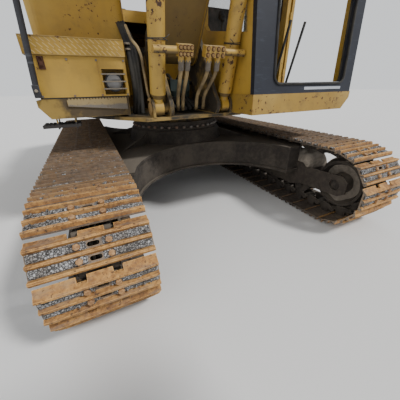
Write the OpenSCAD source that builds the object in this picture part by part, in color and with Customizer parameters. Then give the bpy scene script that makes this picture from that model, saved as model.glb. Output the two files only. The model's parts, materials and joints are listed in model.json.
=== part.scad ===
/* [Tracks] */
// Distance between the middles of the two tracks
gauge = 2500; // [2300:10:2800]
// Width of a track shoe
shoe_w = 600; // [500:10:700]
// Distance between two neighbouring track pins
link_pitch = 190; // [170:1:210]
// Track links on each straight run
run_links = 20; // [18:1:23]
// Track links round each end wheel
wrap_links = 5; // [5:1:7]
// Height of a shoe plate's top over the pin line
plate_rise = 78; // [70:1:95]
// Thickness of a shoe plate
plate_t = 12; // [8:1:18]
// Height of a grouser over its plate
grouser_h = 28; // [18:1:40]
// Width of a grouser at its tip
grouser_w = 14; // [8:1:24]
// Depth of a link under the pin line
link_drop = 45; // [35:1:55]
// Thickness of a link rail
rail_t = 45; // [30:1:50]
// Gap between the two link rails
rail_gap = 110; // [90:1:130]

/* [Rollers and wheels] */
// Radius of a bottom roller
roller_r = 85; // [70:1:95]
// Bottom rollers on each side
roller_count = 7; // [5:1:9]
// Radius of a carrier roller
carrier_r = 60; // [50:1:70]
// Carrier rollers on each side
carrier_count = 2; // [1:1:3]
// Teeth of a sprocket
sprocket_teeth = 20; // [16:1:24]
// Radius of a final drive's hub
drive_r = 195; // [170:1:215]

/* [Undercarriage] */
// Width of a track frame
frame_w = 340; // [300:10:380]
// Height of the slew ring's top over the ground
ring_top = 1000; // [960:5:1060]
// Outer radius of the slew ring
ring_r = 600; // [560:5:650]
// Half depth of the centre body at its waist
waist_y = 690; // [650:10:800]
// Half depth of the centre body at the track frames
foot_y = 1400; // [1300:10:1450]

/* [House] */
// Height of the revolving frame's floor over the ground
floor_z = 1100; // [1080:5:1160]
// Thickness of the revolving frame's floor
floor_t = 30; // [20:1:40]
// Height of the house floor that the cab and hood stand on
deck_z = 1300; // [1280:5:1400]
// Half width of the house
house_w = 1450; // [1400:10:1480]
// Front edge of the nose plate ahead of the slew axis
nose_y = 1200; // [1150:10:1220]
// Back of the house panels behind the slew axis
hood_back = 2120; // [2000:10:2200]
// Front of the engine housing behind the slew axis
hood_front = 620; // [600:10:760]
// Height of the engine housing's top
hood_z = 2250; // [2100:10:2350]
// Thickness of the house's door and housing panels
skin = 25; // [15:1:30]
// Tail radius of the counterweight
tail_r = 2900; // [2750:10:3000]
// Radius of the bores in the lifting eyes
lift_eye_r = 30; // [20:1:36]

/* [Cab] */
// Inner side of the cab from the slew axis
cab_x0 = 205; // [200:1:260]
// Outer side of the cab from the slew axis
cab_x1 = 1485; // [1440:1:1485]
// Front of the cab's foot ahead of the slew axis
cab_front_y = 1526; // [1500:1:1560]
// Back of the cab behind the slew axis
cab_back_y = 250; // [200:5:300]
// Height of the cab's roof over the ground
roof_z = 3050; // [2950:10:3100]
// Thickness of the cab's walls
cab_wall = 50; // [40:1:60]
// Lean of the cab's front, in degrees
front_lean = 5; // [0:0.5:8]
// Width of the door
door_w = 860; // [800:5:900]
// Thickness of the door
door_t = 40; // [30:1:44]
// Angle at which the door stands open
door_open = 180; // [90:5:180]

/* [Right side] */
// Front of the toolbox ahead of the slew axis
box_front = 958; // [900:1:1000]
// Depth of the toolbox
box_d = 358; // [300:1:400]
// Height of the toolbox under its lid
box_h = 300; // [240:5:360]
// Height of the lid
lid_h = 120; // [80:5:140]
// Outer side of the toolbox from the slew axis
box_x1 = 1450; // [1400:5:1470]
// Inner side of the toolbox from the slew axis
box_x0 = 755; // [750:5:800]
// Diameter of the grab rail
rail_d = 42; // [30:1:50]
// Height of the tanks' top
tank_z = 2150; // [2000:10:2200]

/* [Boom] */
// Middle of the boom to the right of the slew axis
boom_x = -210; // [-215:1:-205]
// Boom foot pin ahead of the slew axis
foot_a = 700; // [660:5:740]
// Height of the boom foot pin
foot_z = 1720; // [1690:5:1760]
// Boom cylinder pin ahead of the slew axis
ram_a = 1130; // [1110:5:1140]
// Height of the boom cylinder pin
ram_z = 1200; // [1195:1:1215]
// Distance from the boom foot pin to the boom cylinder's rod pin
ram_reach = 2100; // [2000:10:2200]
// Lean of the boom cylinders from vertical, in degrees
ram_lean = 14.5; // [12:0.5:17]
// Angle from the boom's foot-to-tip line up to the rod pin, in degrees
ram_up = 17; // [16:0.5:18]
// Length of the boom from its foot pin to its tip pin
boom_len = 5250; // [5100:10:5400]
// Width of the boom
boom_w = 420; // [400:2:430]
// Distance between the middles of the two boom cylinders
ram_spread = 676; // [670:1:678]
// Outer diameter of a boom cylinder
ram_d = 132; // [120:2:134]
// Radius of the large pins
pin_r = 50; // [40:1:55]

/* [Stick and bucket] */
// Angle of the stick to level, in degrees
stick_dir = -80; // [-84:1:-76]
// Length of the stick from the boom pin to the bucket pin
stick_len = 2750; // [2650:10:2850]
// Width of the stick
stick_w = 340; // [320:2:350]
// Angle from the stick to the line of the bucket's teeth, in degrees
bucket_dir = -75; // [-80:1:-70]
// Distance from the bucket pin to the teeth's tips
tip_r = 1420; // [1350:10:1480]
// Width of the bucket
bucket_w = 1050; // [900:10:1200]
// Teeth on the bucket's edge
tooth_count = 5; // [4:1:6]
// Outer diameter of the stick and bucket cylinders
small_ram_d = 130; // [110:2:136]

/* [Hidden] */
$fn = 48;
fit = 0.2;
seat = 0.3;
clear = 5;
lip_w = 21;

// Track chain, in the side view's own plane: forward, then up
wrap_step = 180 / wrap_links;
chain_r = link_pitch / 2 / sin(wrap_step / 2);
chord_r = chain_r * cos(wrap_step / 2);
tip_rise = plate_rise + grouser_h;
wheel_z = chain_r + tip_rise;
half_base = run_links * link_pitch / 2;
link_count = 2 * (run_links + wrap_links);
lower_path = wheel_z - chain_r + link_drop;
upper_path = wheel_z + chain_r - link_drop;
track_x = gauge / 2;
rail_mid = (rail_gap + rail_t) / 2;
flange_h = 14;
frame_top = upper_path - 2 * carrier_r - flange_h - clear;
frame_low = lower_path + 2 * roller_r + flange_h + clear;
beam_x = track_x - frame_w / 2;

// Front linkage at rest
foot = [foot_a, foot_z];
ram_foot = [ram_a, ram_z];
ram_aim = polar(1, 90 - ram_lean);
ram_from_foot = ram_foot - foot;
ram_b = ram_from_foot * ram_aim;
ram_len = sqrt(ram_b * ram_b - ram_from_foot * ram_from_foot + ram_reach * ram_reach) - ram_b;
ram_eye = ram_foot + ram_len * ram_aim;
boom_dir = heading(ram_eye - foot) - ram_up;
boom_tip = foot + polar(boom_len, boom_dir);
stick_heel = [-720, 300];
stick_base = [2300, 1345];
cup_base = [420, 500];
rocker_base = [stick_len - 420, 20];
rocker_len = 590;
link_len = 560;
ear_len = 440;
ear_up = 100;
bucket_pin = boom_tip + polar(stick_len, stick_dir);
bucket_turn = stick_dir + bucket_dir;
ear_pin = bucket_pin + polar(ear_len, bucket_turn + ear_up);
heel_pin = on_stick(stick_heel);
stick_ram_pin = on_boom(stick_base);
cup_pin = on_stick(cup_base);
rocker_pin = on_stick(rocker_base);
rocker_span = ear_pin - rocker_pin;
rocker_gap = norm(rocker_span);
rocker_a = (rocker_len * rocker_len - link_len * link_len + rocker_gap * rocker_gap) / (2 * rocker_gap);
rocker_h = sqrt(rocker_len * rocker_len - rocker_a * rocker_a);
knee_pin = rocker_pin + turned([rocker_a, rocker_h], heading(rocker_span));
boss_r = 150;
eye_r = 90;
side_t = 16;
flange_in = 12;
small_pin_r = 38;
ram_pin_r = 40;
ram_x = ram_spread / 2;
ram_eye_w = 80;
eye_wall = 24;
ram_ear_r = 80;
port_rise = 464;
cheek_t = 35;
ear_in = small_ram_d / 2 + clear;
ear_t = 30;
rocker_end_r = 75;
lid_proud = 14;
hinge_h = 90;
leaf_w = 50;
panel_hinge_r = 8;
door_hinge_r = 12;
hood_axis = [hood_back - 40 + panel_hinge_r + 4, hood_z + 30];
lid_axis = [-box_front + box_d - panel_hinge_r, deck_z + box_h + seat + lid_h + panel_hinge_r];
stack_x = 450 - house_w;
stack_y = hood_front + 900;
stack_r = 50;
cleaner_x = house_w - 400;
cleaner_y = hood_front + 350;
cleaner_r = 55;
cheek_x = boom_w / 2 + clear + 4;
outer_ear_x = ram_x + ram_eye_w / 2 + clear;
outer_ear_t = 20;
stick_ram_len = norm(heel_pin - stick_ram_pin);
cup_ram_len = norm(knee_pin - cup_pin);

// The middle of the whole machine, front to back, is the origin
reach_front = max(ear_pin.x, knee_pin.x) + rocker_end_r;
mid_a = (reach_front - tail_r) / 2;

function polar(r, a) = [r * cos(a), r * sin(a)];
function turned(p, a) = [p.x * cos(a) - p.y * sin(a), p.x * sin(a) + p.y * cos(a)];
function heading(p) = atan2(p.y, p.x);
function arc(c, r, a0, a1, n) = [for (i = [0:n]) c + polar(r, a0 + (a1 - a0) * i / n)];
function on_boom(p) = foot + turned(p, boom_dir);
function on_stick(p) = boom_tip + turned(p, stick_dir);
function on_bucket(p) = bucket_pin + turned(p, bucket_turn);

// Pin i of the chain, counted forward along the ground run, and up round the idler
function chain_pin(i) =
    i <= run_links ? [i * link_pitch - half_base, wheel_z - chain_r] :
    i <= run_links + wrap_links
        ? [half_base, wheel_z] + polar(chain_r, wrap_step * (i - run_links) - 90) :
    i <= 2 * run_links + wrap_links
        ? [half_base - (i - run_links - wrap_links) * link_pitch, wheel_z + chain_r] :
    [-half_base, wheel_z] + polar(chain_r, wrap_step * (i - 2 * run_links - wrap_links) + 90);

// A profile of [along, outward] points laid on link i
function on_link(i, profile) =
    let (p0 = chain_pin(i), p1 = chain_pin(i + 1), aim = heading(p1 - p0), mid = (p0 + p1) / 2)
    [for (q = profile) mid + polar(q.x, aim) + polar(q.y, aim - 90)];

// The links at which a smooth loop needs points: both end wraps and their neighbours
turning_links = [
    0, for (i = [run_links - 1:run_links + wrap_links]) i,
    for (i = [2 * run_links + wrap_links - 1:link_count - 1]) i
];

// True where link i and the next one open up, so that the lip between them shows
function opens(i) = let (k = (i + link_count) % (run_links + wrap_links)) k >= run_links && k < run_links + wrap_links - 1;

// Turns a side view drawing of forward and up into a plate across the machine
module plate_at(x, t) {
    translate([x + t / 2, 0, 0]) rotate([90, 0, -90]) linear_extrude(t) children();
}

module cross_pin(p, x0, x1, r) {
    translate([x0, -p.x, p.y]) rotate([0, 90, 0]) cylinder(r = r, h = x1 - x0);
}

// Lays a shape that is drawn up +Z along a direction of the side view
module aimed(p, x, dir) {
    translate([x, -p.x, p.y]) rotate([90 - dir, 0, 0]) children();
}

function unit(v) = v / norm(v);

// A path with its corners rounded, from a list of points in space
function bent(points, reach, steps) = let (last = len(points) - 1) [
    points[0],
    for (i = [1:last - 1]) let (
        a = points[i] + reach * unit(points[i - 1] - points[i]),
        c = points[i] + reach * unit(points[i + 1] - points[i])
    ) each [for (k = [0:steps]) let (t = k / steps)
        (1 - t) * (1 - t) * a + 2 * t * (1 - t) * points[i] + t * t * c],
    points[last]
];

// A round tube along a path; no stretch of the path may run along side_axis
module swept(path, r, sides, side_axis) {
    last = len(path) - 1;
    rings = [for (i = [0:last]) let (
        aim = unit(path[min(i + 1, last)] - path[max(i - 1, 0)]),
        u = unit(cross(aim, side_axis)),
        w = cross(aim, u)
    ) for (k = [0:sides - 1]) path[i] + r * (cos(k * 360 / sides) * u + sin(k * 360 / sides) * w)];
    polyhedron(points = rings, faces = concat(
        [[for (k = [0:sides - 1]) k]],
        [for (i = [0:last - 1], k = [0:sides - 1]) [
            i * sides + k, (i + 1) * sides + k, (i + 1) * sides + (k + 1) % sides, i * sides + (k + 1) % sides
        ]],
        [[for (k = [sides - 1:-1:0]) last * sides + k]]
    ));
}

// The half of a hinge that stays. Its axis is +Z at the origin, its face lies to -X for side 1,
// and its leaf reaches towards +Y, away from the door's panel.
module hinge_fixed(r, h, side) {
    low = h / 2 - seat;
    cylinder(r = r, h = low);
    cylinder(r = r / 2, h = h);
    translate([side > 0 ? -r - 2 : r - 4, 0, 0]) cube([6, leaf_w, low]);
    translate([side > 0 ? -r - 2 : 0, 0, 0]) cube([r + 2, r, low]);
}

// The half that turns with the panel; its leaf reaches towards -Y
module hinge_moving(r, h, side) {
    difference() {
        union() {
            translate([0, 0, h / 2 + seat]) cylinder(r = r, h = h / 2);
            translate([side > 0 ? -r - 2 : r - 4, -leaf_w, h / 2 + seat]) cube([6, leaf_w - 1, h / 2]);
            translate([side > 0 ? -r - 2 : 0, -r, h / 2 + seat]) cube([r + 2, r - 1, h / 2]);
        }
        cylinder(r = r / 2 + fit, h = 2 * h);
    }
}

// The half of a lid's hinge that stays, along +X, and its leaves
module lid_barrel() {
    rotate([0, 90, 0]) {
        cylinder(r = panel_hinge_r, h = hinge_h / 2 - seat);
        cylinder(r = panel_hinge_r / 2, h = hinge_h);
    }
    children();
}

// The half that turns with the lid
module lid_barrel_moving() {
    difference() {
        union() {
            translate([hinge_h / 2 + seat, 0, 0]) {
                rotate([0, 90, 0]) cylinder(r = panel_hinge_r, h = hinge_h / 2);
                children();
            }
        }
        rotate([0, 90, 0]) cylinder(r = panel_hinge_r / 2 + fit, h = 2 * hinge_h);
    }
}

module placed() {
    translate([0, mid_a, 0]) children();
}

module both_sides() {
    for (side = [-1, 1]) translate([side * track_x, 0, 0]) children();
}

// Three grousers on each shoe, and a lip that lies under the next shoe's edge
module shoe_loop() {
    edge = link_pitch / 2 - 5;
    mid = edge - grouser_w;
    half = grouser_w / 2;
    grousers = [
        [-mid - half, tip_rise], [half - mid, tip_rise], [grouser_w - mid, plate_rise],
        [-grouser_w, plate_rise], [-half, tip_rise], [half, tip_rise], [grouser_w, plate_rise],
        [mid - grouser_w, plate_rise], [mid - half, tip_rise], [mid + half, tip_rise]
    ];
    // The links on the ground have narrower grooves
    packed = [
        [-mid - half, tip_rise], [half - mid, tip_rise], [-mid / 2, plate_rise], [-half, tip_rise],
        [half, tip_rise], [mid / 2, plate_rise], [mid - half, tip_rise], [mid + half, tip_rise]
    ];
    seam = [[link_pitch / 2, plate_rise - plate_t / 2]];
    lip = [[edge + lip_w, plate_rise - 22], [edge + lip_w - 8, 20]];
    polygon([for (i = [0:link_count - 1]) each on_link(i, concat(
        opens(i - 1) ? [[-edge, plate_rise]] : [], i < run_links - 1 ? packed : grousers,
        opens(i) ? lip : seam
    ))]);
}

module smooth_loop(rise, half) {
    polygon([for (i = turning_links) each on_link(i, [[-half, rise], [half, rise]])]);
}

// The inner side of the shoe plates, with the lips' undersides
module plate_loop(rise, half) {
    polygon([for (i = turning_links) each on_link(i, concat(
        [[-half, rise], [half, rise]], opens(i) ? [[half + lip_w + 2, rise - 24]] : []
    ))]);
}

module track(x) {
    half = link_pitch / 2;
    under = plate_rise - plate_t;
    inset = link_drop * tan(wrap_step / 2);
    color("dimgray") {
        plate_at(x, shoe_w) difference() {
            shoe_loop();
            plate_loop(under, half - 5);
        }
        for (side = [-1, 1]) plate_at(x + side * rail_mid, rail_t) difference() {
            plate_loop(under + 1, half - 5);
            smooth_loop(-link_drop, half - inset);
        }
    }
}

module track_l() {
    placed() track(track_x);
}

module track_r() {
    placed() track(-track_x);
}

module idlers() {
    rim = chord_r - link_drop - 1;
    half = rail_gap / 2;
    color("saddlebrown") placed() both_sides() translate([0, -half_base, wheel_z])
        rotate([0, 90, 0]) {
            rotate_extrude() polygon([
                [60, -half - 52], [105, -half - 52], [110, -12], [rim - 60, -12], [rim - 25, -half - rail_t],
                [rim, -half - rail_t], [rim, -half], [rim + 24, -half + 12], [rim + 24, half - 12],
                [rim, half], [rim, half + rail_t], [rim - 25, half + rail_t], [rim - 60, 12],
                [110, 12], [105, half + 52], [60, half + 52]
            ]);
            cylinder(r = 60 - seat, h = frame_w - 60, center = true);
        }
}

module sprockets() {
    tooth_step = 360 / sprocket_teeth;
    root = chain_r - 26;
    tip = chain_r + 14;
    color("dimgray") placed() both_sides() translate([0, half_base, wheel_z]) rotate([0, 90, 0])
        difference() {
            translate([0, 0, -26]) linear_extrude(52) polygon([for (i = [0:sprocket_teeth - 1]) each [
                polar(root, (i - 0.18) * tooth_step), polar(root, (i + 0.18) * tooth_step),
                polar(tip, (i + 0.38) * tooth_step), polar(tip, (i + 0.62) * tooth_step)
            ]]);
            cylinder(r = 150 + seat, h = 60, center = true);
        }
}

module final_drive(side) {
    inner = frame_w / 2 - 40;
    translate([side * track_x, half_base, wheel_z]) rotate([0, side * 90, 0]) rotate_extrude() polygon([
        [0, -inner + seat], [150, -inner + seat], [150, 26 + seat], [drive_r, 26 + seat], [drive_r, 120],
        [drive_r - 20, 140], [140, 160], [130, 205], [90, 215], [0, 215]
    ]);
}

module final_drives() {
    color("#4a3d2c") placed() for (side = [-1, 1]) final_drive(side);
}

module roller(r, half, shaft) {
    rotate([0, 90, 0]) {
        rotate_extrude() polygon([
            [0, -half], [r + flange_h, -half], [r + flange_h, -half + 8], [r, -half + 12],
            [r, -rail_gap / 2 + 12], [r - 22, -rail_gap / 2 + 20], [r - 22, rail_gap / 2 - 20],
            [r, rail_gap / 2 - 12],
            [r, half - 12], [r + flange_h, half - 8], [r + flange_h, half], [0, half]
        ]);
        cylinder(r = 30, h = 2 * shaft, center = true);
    }
}

module rollers() {
    half = rail_gap / 2 + rail_t + 12;
    span = 2 * half_base - 900;
    color("dimgray") placed() both_sides() {
        for (i = [0:roller_count - 1])
            translate([0, span * (i / (roller_count - 1) - 0.5), lower_path + roller_r + seat])
                roller(roller_r, half, frame_w / 2 - 20 - seat);
        for (i = [1:carrier_count])
            translate([0, span * (i / (carrier_count + 1) - 0.5), upper_path - carrier_r - seat])
                roller(carrier_r, half, frame_w / 2 - 20 - seat);
    }
}

module track_frame(side) {
    skirt_t = 20;
    front = half_base - 420;
    back = half_base - 380;
    span = 2 * half_base - 900;
    color("#5b4a33") placed() translate([side * track_x, 0, 0]) {
        plate_at(0, frame_w) polygon([
            [-back, frame_low], [front, frame_low], [front + 60, frame_low + 40],
            [front + 60, frame_top - 60], [front - 20, frame_top], [-back, frame_top]
        ]);
        for (edge = [-1, 1]) {
            plate_at(edge * (frame_w - skirt_t) / 2, skirt_t) difference() {
                polygon([
                    [-back, frame_low - 115], [front - 140, frame_low - 115], [front, frame_low - 60],
                    [half_base + 60, wheel_z - 110], [half_base + 130, wheel_z - 60],
                    [half_base + 130, wheel_z + 60], [half_base + 60, wheel_z + 110],
                    [front, frame_top - 40], [-back, frame_top - 40]
                ]);
                translate([half_base, wheel_z]) circle(r = 60);
                for (i = [0:roller_count - 1])
                    translate([span * (0.5 - i / (roller_count - 1)), lower_path + roller_r + seat])
                        circle(r = 30 + fit);
            }
            for (i = [1:carrier_count])
                plate_at(edge * (frame_w - skirt_t) / 2, skirt_t) difference() {
                    translate([span * (0.5 - i / (carrier_count + 1)) - 55, frame_top - 60])
                        square([110, upper_path - frame_top + 30]);
                    translate([span * (0.5 - i / (carrier_count + 1)), upper_path - carrier_r - seat])
                        circle(r = 30 + fit);
                }
        }
        plate_at(-side * (frame_w / 2 - 20), 40) polygon(concat(
            [[-back + 40, frame_low - 40], [-back + 40, frame_top]],
            arc([-half_base, wheel_z], 215, 75, 285, 10)
        ));
    }
}

module track_frame_l() {
    track_frame(1);
}

module track_frame_r() {
    track_frame(-1);
}

module carbody() {
    low = 420;
    high = 730;
    flange_t = 25;
    web_back = 22;
    bay = foot_y - waist_y;
    half = beam_x;
    bay_x = half - 200;
    bow = (bay_x * bay_x + bay * bay) / (2 * bay);
    bow_a = asin(bay_x / bow);
    color("#4c4136") placed() difference() {
        union() {
            // Each column: the layer's height, its thickness, how far it stands back from the flanges' edge
            for (layer = [[low, flange_t, 0], [low, high - low, web_back], [high - flange_t, flange_t, 0]])
                translate([0, 0, layer[0]]) linear_extrude(layer[1]) polygon(let (
                    front = concat(
                        [[half, layer[2] - foot_y]],
                        arc([0, -waist_y - bow], bow + layer[2], 90 - bow_a, 90 + bow_a, 16),
                        [[-half, layer[2] - foot_y]]
                    )
                ) concat(front, [for (p = front) -p]));
            translate([0, 0, high]) cylinder(r1 = waist_y - 20, r2 = ring_r + 20, h = ring_top - high - 120);
            for (a = [35, 145, 215, 325]) rotate([0, 0, a]) translate([ring_r - 80, -15, high - 10])
                rotate([90, 0, 0]) translate([0, 0, -30]) linear_extrude(30)
                    polygon([[0, 0], [560, 0], [60, ring_top - high - 130], [0, ring_top - high - 130]]);
        }
        translate([0, 0, low - 10]) cylinder(r = ring_r - 130, h = ring_top - low);
    }
}

module slew_ring() {
    base = ring_top - 120;
    color("#3d352b") placed() translate([0, 0, base]) difference() {
        union() {
            cylinder(r = ring_r, h = 30);
            cylinder(r = ring_r - 20, h = 100);
        }
        translate([0, 0, -1]) cylinder(r = ring_r - 70, h = 130);
    }
}

// Side view of a cheek plate that carries the boom foot and a boom cylinder's foot
module cheek_outline() {
    polygon(concat(
        [[-500, floor_z + floor_t]],
        [[foot_a - 350, foot_z - 120]],
        arc(foot, boss_r, 165, 20, 10),
        arc(ram_foot, 100, 60, -20, 6),
        [[ram_a + 60, floor_z + floor_t]]
    ));
}

module deck() {
    plate_z = floor_z + floor_t;
    color("#8f6a1c") placed() {
        difference() {
            translate([0, 0, ring_top - 100]) cylinder(r = ring_r - 70 - seat, h = floor_z - ring_top + 100);
            translate([0, 0, ring_top - 110]) cylinder(r = ring_r - 120, h = floor_z - ring_top + 140);
        }
        translate([0, 0, floor_z]) linear_extrude(floor_t) difference() {
            polygon([
                [boom_x - 470, -nose_y], [boom_x + 510, -nose_y], [700, -820], [house_w - 150, -400],
                [house_w - 150, hood_back], [-house_w + 150, hood_back], [-house_w + 150, -300],
                [-1000, -780]
            ]);
            circle(r = ring_r - 200);
        }
        for (side = [-1, 1]) {
            plate_at(boom_x + side * (cheek_x + cheek_t / 2), cheek_t) cheek_outline();
            plate_at(boom_x + side * (outer_ear_x + outer_ear_t / 2), outer_ear_t) polygon(concat(
                arc(ram_foot, ram_ear_r, 200, -20, 12), [[ram_a + 75, plate_z], [ram_a - 150, plate_z]]
            ));
            cross_pin(ram_foot, boom_x + (side > 0 ? cheek_x : -outer_ear_x - outer_ear_t),
                boom_x + (side > 0 ? outer_ear_x + outer_ear_t : -cheek_x), ram_pin_r);
        }
        cross_pin(foot, boom_x - cheek_x - cheek_t - 25, boom_x + cheek_x + cheek_t + 25, pin_r);
        difference() {
            translate([-house_w, cab_back_y + 10, plate_z])
                cube([2 * house_w, hood_back - cab_back_y - 10, deck_z - plate_z]);
            translate([-house_w + 40, cab_back_y + 50, plate_z - 1])
                cube([2 * house_w - 80, hood_back - cab_back_y - 90, deck_z - plate_z - 29]);
        }
    }
}

// A box section that is open below, seen from the front as a list of [across, up] points
module open_pan(outline, y0, y1, wall) {
    difference() {
        translate([0, y1, 0]) rotate([90, 0, 0]) linear_extrude(y1 - y0) polygon(outline);
        translate([0, y1 - wall, -wall]) rotate([90, 0, 0]) linear_extrude(y1 - y0 - 2 * wall)
            intersection() {
                polygon(outline);
                translate([wall, 0]) polygon(outline);
                translate([-wall, 0]) polygon(outline);
            }
    }
}

module cab_platform() {
    color("#b98a1f") placed() open_pan([
        [cab_x0 - 5, floor_z + floor_t], [cab_x1 - 75, floor_z + floor_t], [cab_x1 + 15, deck_z - 60],
        [cab_x1 + 15, deck_z], [cab_x0 - 5, deck_z]
    ], -cab_front_y, cab_back_y, 15);
}

module side_platform() {
    tooth = 24;
    step_x0 = -box_x0 - 35;
    step_x1 = -1270;
    teeth = floor((step_x0 - step_x1) / tooth);
    color("#b98a1f") placed() {
        open_pan([
            [-box_x1 - 36, deck_z - 10], [-box_x1 - 36, deck_z - 60], [-box_x1 + 33, floor_z + 45],
            [-box_x0 - 15, floor_z + 45], [-box_x0 - 15, deck_z - 10]
        ], -box_front, cab_back_y, 15);
        translate([-box_x1, -box_front, deck_z - 10])
            cube([box_x1 - box_x0 - 15, box_front + cab_back_y, 10]);
        translate([0, -box_front, 0]) rotate([90, 0, 0]) linear_extrude(12) polygon(concat(
            [[step_x0, deck_z - 105], [step_x0, deck_z - 14]],
            [for (i = [0:teeth - 1]) each [
                [step_x0 - i * tooth - tooth / 4, deck_z], [step_x0 - (i + 0.75) * tooth, deck_z - 14]
            ]],
            [[step_x1, deck_z - 14], [step_x1, deck_z - 60]]
        ));
        boarding_step(-box_x1 - 50, 290, 200);
    }
}

// A grating of serrated bars on two carriers, hung under the platform
module boarding_step(x, width, depth) {
    base = floor_z - 40;
    bars = 6;
    translate([x, -box_front + 10, base]) {
        for (i = [0:bars - 1]) translate([0, i * (depth - 8) / (bars - 1) + 8, 12]) rotate([90, 0, 0])
            linear_extrude(8) polygon(concat(
                [[width, 26], [width, 0], [0, 0], [0, 26]],
                [for (k = [1:9]) let (mid = k * width / 10) each [[mid - 6, 26], [mid, 18], [mid + 6, 26]]]
            ));
        for (k = [110, width - 40]) {
            translate([k, 0, 0]) cube([10, depth, 30]);
            translate([k, 0, 0]) cube([10, 30, floor_z + 90 - base]);
            translate([k, depth - 30, 0]) cube([10, 30, deck_z - 20 - base]);
        }
    }
}

module counterweight() {
    lug_y = hood_back + 260;
    color("#a87c1d") placed() {
        intersection() {
            rotate_extrude($fn = 96) polygon([
                [0, deck_z - 130], [tail_r - 90, deck_z - 130], [tail_r, deck_z - 40],
                [tail_r, hood_z - 110], [tail_r - 80, hood_z - 10], [0, hood_z - 10]
            ]);
            translate([-house_w, hood_back + seat, 0]) cube([2 * house_w, tail_r, 3000]);
        }
        for (side = [-1, 1]) translate([side * 800 - 20, lug_y, hood_z - 10]) rotate([90, 0, 90])
            linear_extrude(40) difference() {
                polygon(concat([[-110, -5], [110, -5]], arc([0, 70], 70, 0, 180, 12)));
                translate([0, 70]) circle(r = lift_eye_r);
            }
    }
}

module engine_block() {
    color("#5d5a50") placed() translate([-450, hood_front + 250, deck_z]) cube([1100, 900, 620]);
}

module engine_housing() {
    inner = house_w - skin;
    depth = hood_back - hood_front;
    color("#b98a1f") placed() difference() {
        translate([-house_w, hood_front, deck_z]) cube([2 * house_w, depth, hood_z - deck_z]);
        translate([-inner, hood_front + skin, deck_z - 1])
            cube([2 * inner, depth - 2 * skin, hood_z - deck_z - skin + 1]);
        translate([-700, hood_front + 80, hood_z - skin - 1]) cube([1400, depth - 160, skin + 2]);
        translate([-600, hood_front - 1, deck_z + 80]) cube([700, skin + 2, hood_z - deck_z - 160]);
        for (side = [-1, 1]) translate([side * (house_w - skin / 2) - skin, hood_front + 160, deck_z + 90])
            cube([2 * skin, depth - 300, hood_z - deck_z - 200]);
        translate([stack_x, stack_y, hood_z - skin - 1]) cylinder(r = stack_r + seat, h = skin + 2);
        translate([cleaner_x, cleaner_y, hood_z - skin - 1]) cylinder(r = cleaner_r + seat, h = skin + 2);
    }
    color("#b98a1f") placed() {
        for (side = [-1, 1]) service_hinges(side) hinge_fixed(panel_hinge_r, hinge_h, side);
        hood_hinges() lid_barrel()
            translate([0, -2, hood_z - hood_axis.y - 1]) cube([hinge_h / 2 - seat, 10, hood_axis.y - hood_z]);
    }
}

module hood_hinges() {
    for (x = [-560, 470]) translate([x, hood_axis.x, hood_axis.y]) children();
}

module hood() {
    depth = hood_back - hood_front;
    color("#c2912a") placed() {
        difference() {
            union() {
                translate([-740, hood_front + 40, hood_z + seat]) cube([1480, depth - 80, 60]);
                translate([-695, hood_front + 85, hood_z - 20]) cube([1390, depth - 170, 30]);
            }
            translate([-725, hood_front + 55, hood_z - 21]) cube([1450, depth - 110, 21 + 45]);
        }
        hood_hinges() lid_barrel_moving()
            translate([0, -panel_hinge_r - 5, -panel_hinge_r]) cube([hinge_h / 2, 8, 2 * panel_hinge_r]);
    }
}

// Places a hinge part at each hinge of a service door
module service_hinges(side) {
    for (z = [deck_z + 180, hood_z - 280])
        translate([side * (house_w + panel_hinge_r + 1), hood_front + 160, z]) mirror([0, 1, 0]) children();
}

module service_door(side) {
    depth = hood_back - hood_front;
    height = hood_z - deck_z - 200 - 2 * clear;
    placed() {
        translate([side * (house_w - skin / 2), hood_front + 160 + clear, deck_z + 90 + clear]) difference() {
            translate([-skin / 2, 0, 0]) cube([skin, depth - 300 - 2 * clear, height]);
            for (i = [0:9]) translate([-skin, 200, 130 + i * 40]) cube([2 * skin, 500, 14]);
        }
        service_hinges(side) hinge_moving(panel_hinge_r, hinge_h, side);
    }
}

module service_door_l() {
    color("#c2912a") service_door(1);
}

module service_door_r() {
    color("#c2912a") service_door(-1);
}

module exhaust() {
    base = deck_z + 300;
    top = hood_z + 420;
    color("#4b3a2e") placed() {
        translate([stack_x, stack_y, base]) cylinder(r = 90, h = hood_z - base - 2 * skin);
        swept(bent([
            [stack_x, stack_y, base + 50], [stack_x, stack_y, top], [stack_x, stack_y + 160, top + 70]
        ], 80, 4), stack_r, 20, [1, 0, 0]);
    }
}

module air_cleaner() {
    rise = hood_z - deck_z - 400;
    color("#3b3b3b") placed() translate([cleaner_x, cleaner_y, deck_z + 400]) rotate_extrude() polygon([
        [0, 0], [120, 0], [120, rise - 80], [cleaner_r, rise - 50], [cleaner_r, rise + 80],
        [110, rise + 110], [110, rise + 210], [60, rise + 250], [0, rise + 250]
    ]);
}

module rounded_tank(x0, x1, y0, y1, r) {
    translate([0, 0, deck_z]) linear_extrude(tank_z - deck_z) polygon(concat(
        arc([x1 - r, y0 + r], r, -90, 0, 5), [[x1, y1], [x0, y1]], arc([x0 + r, y0 + r], r, 180, 270, 5)
    ));
}

module fuel_tank() {
    color("#b98a1f") placed() {
        rounded_tank(-box_x1 + 30, -640, -box_front + box_d + 6, 60, 70);
        translate([-1150, -250, tank_z - 1]) cylinder(r = 70, h = 60);
    }
}

module hydraulic_tank() {
    color("#a87c1d") placed() {
        rounded_tank(-box_x1 + 30, -640, 66, hood_front - 6, 30);
        translate([-900, 330, tank_z - 1]) cylinder(r = 110, h = 40);
    }
}

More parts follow.
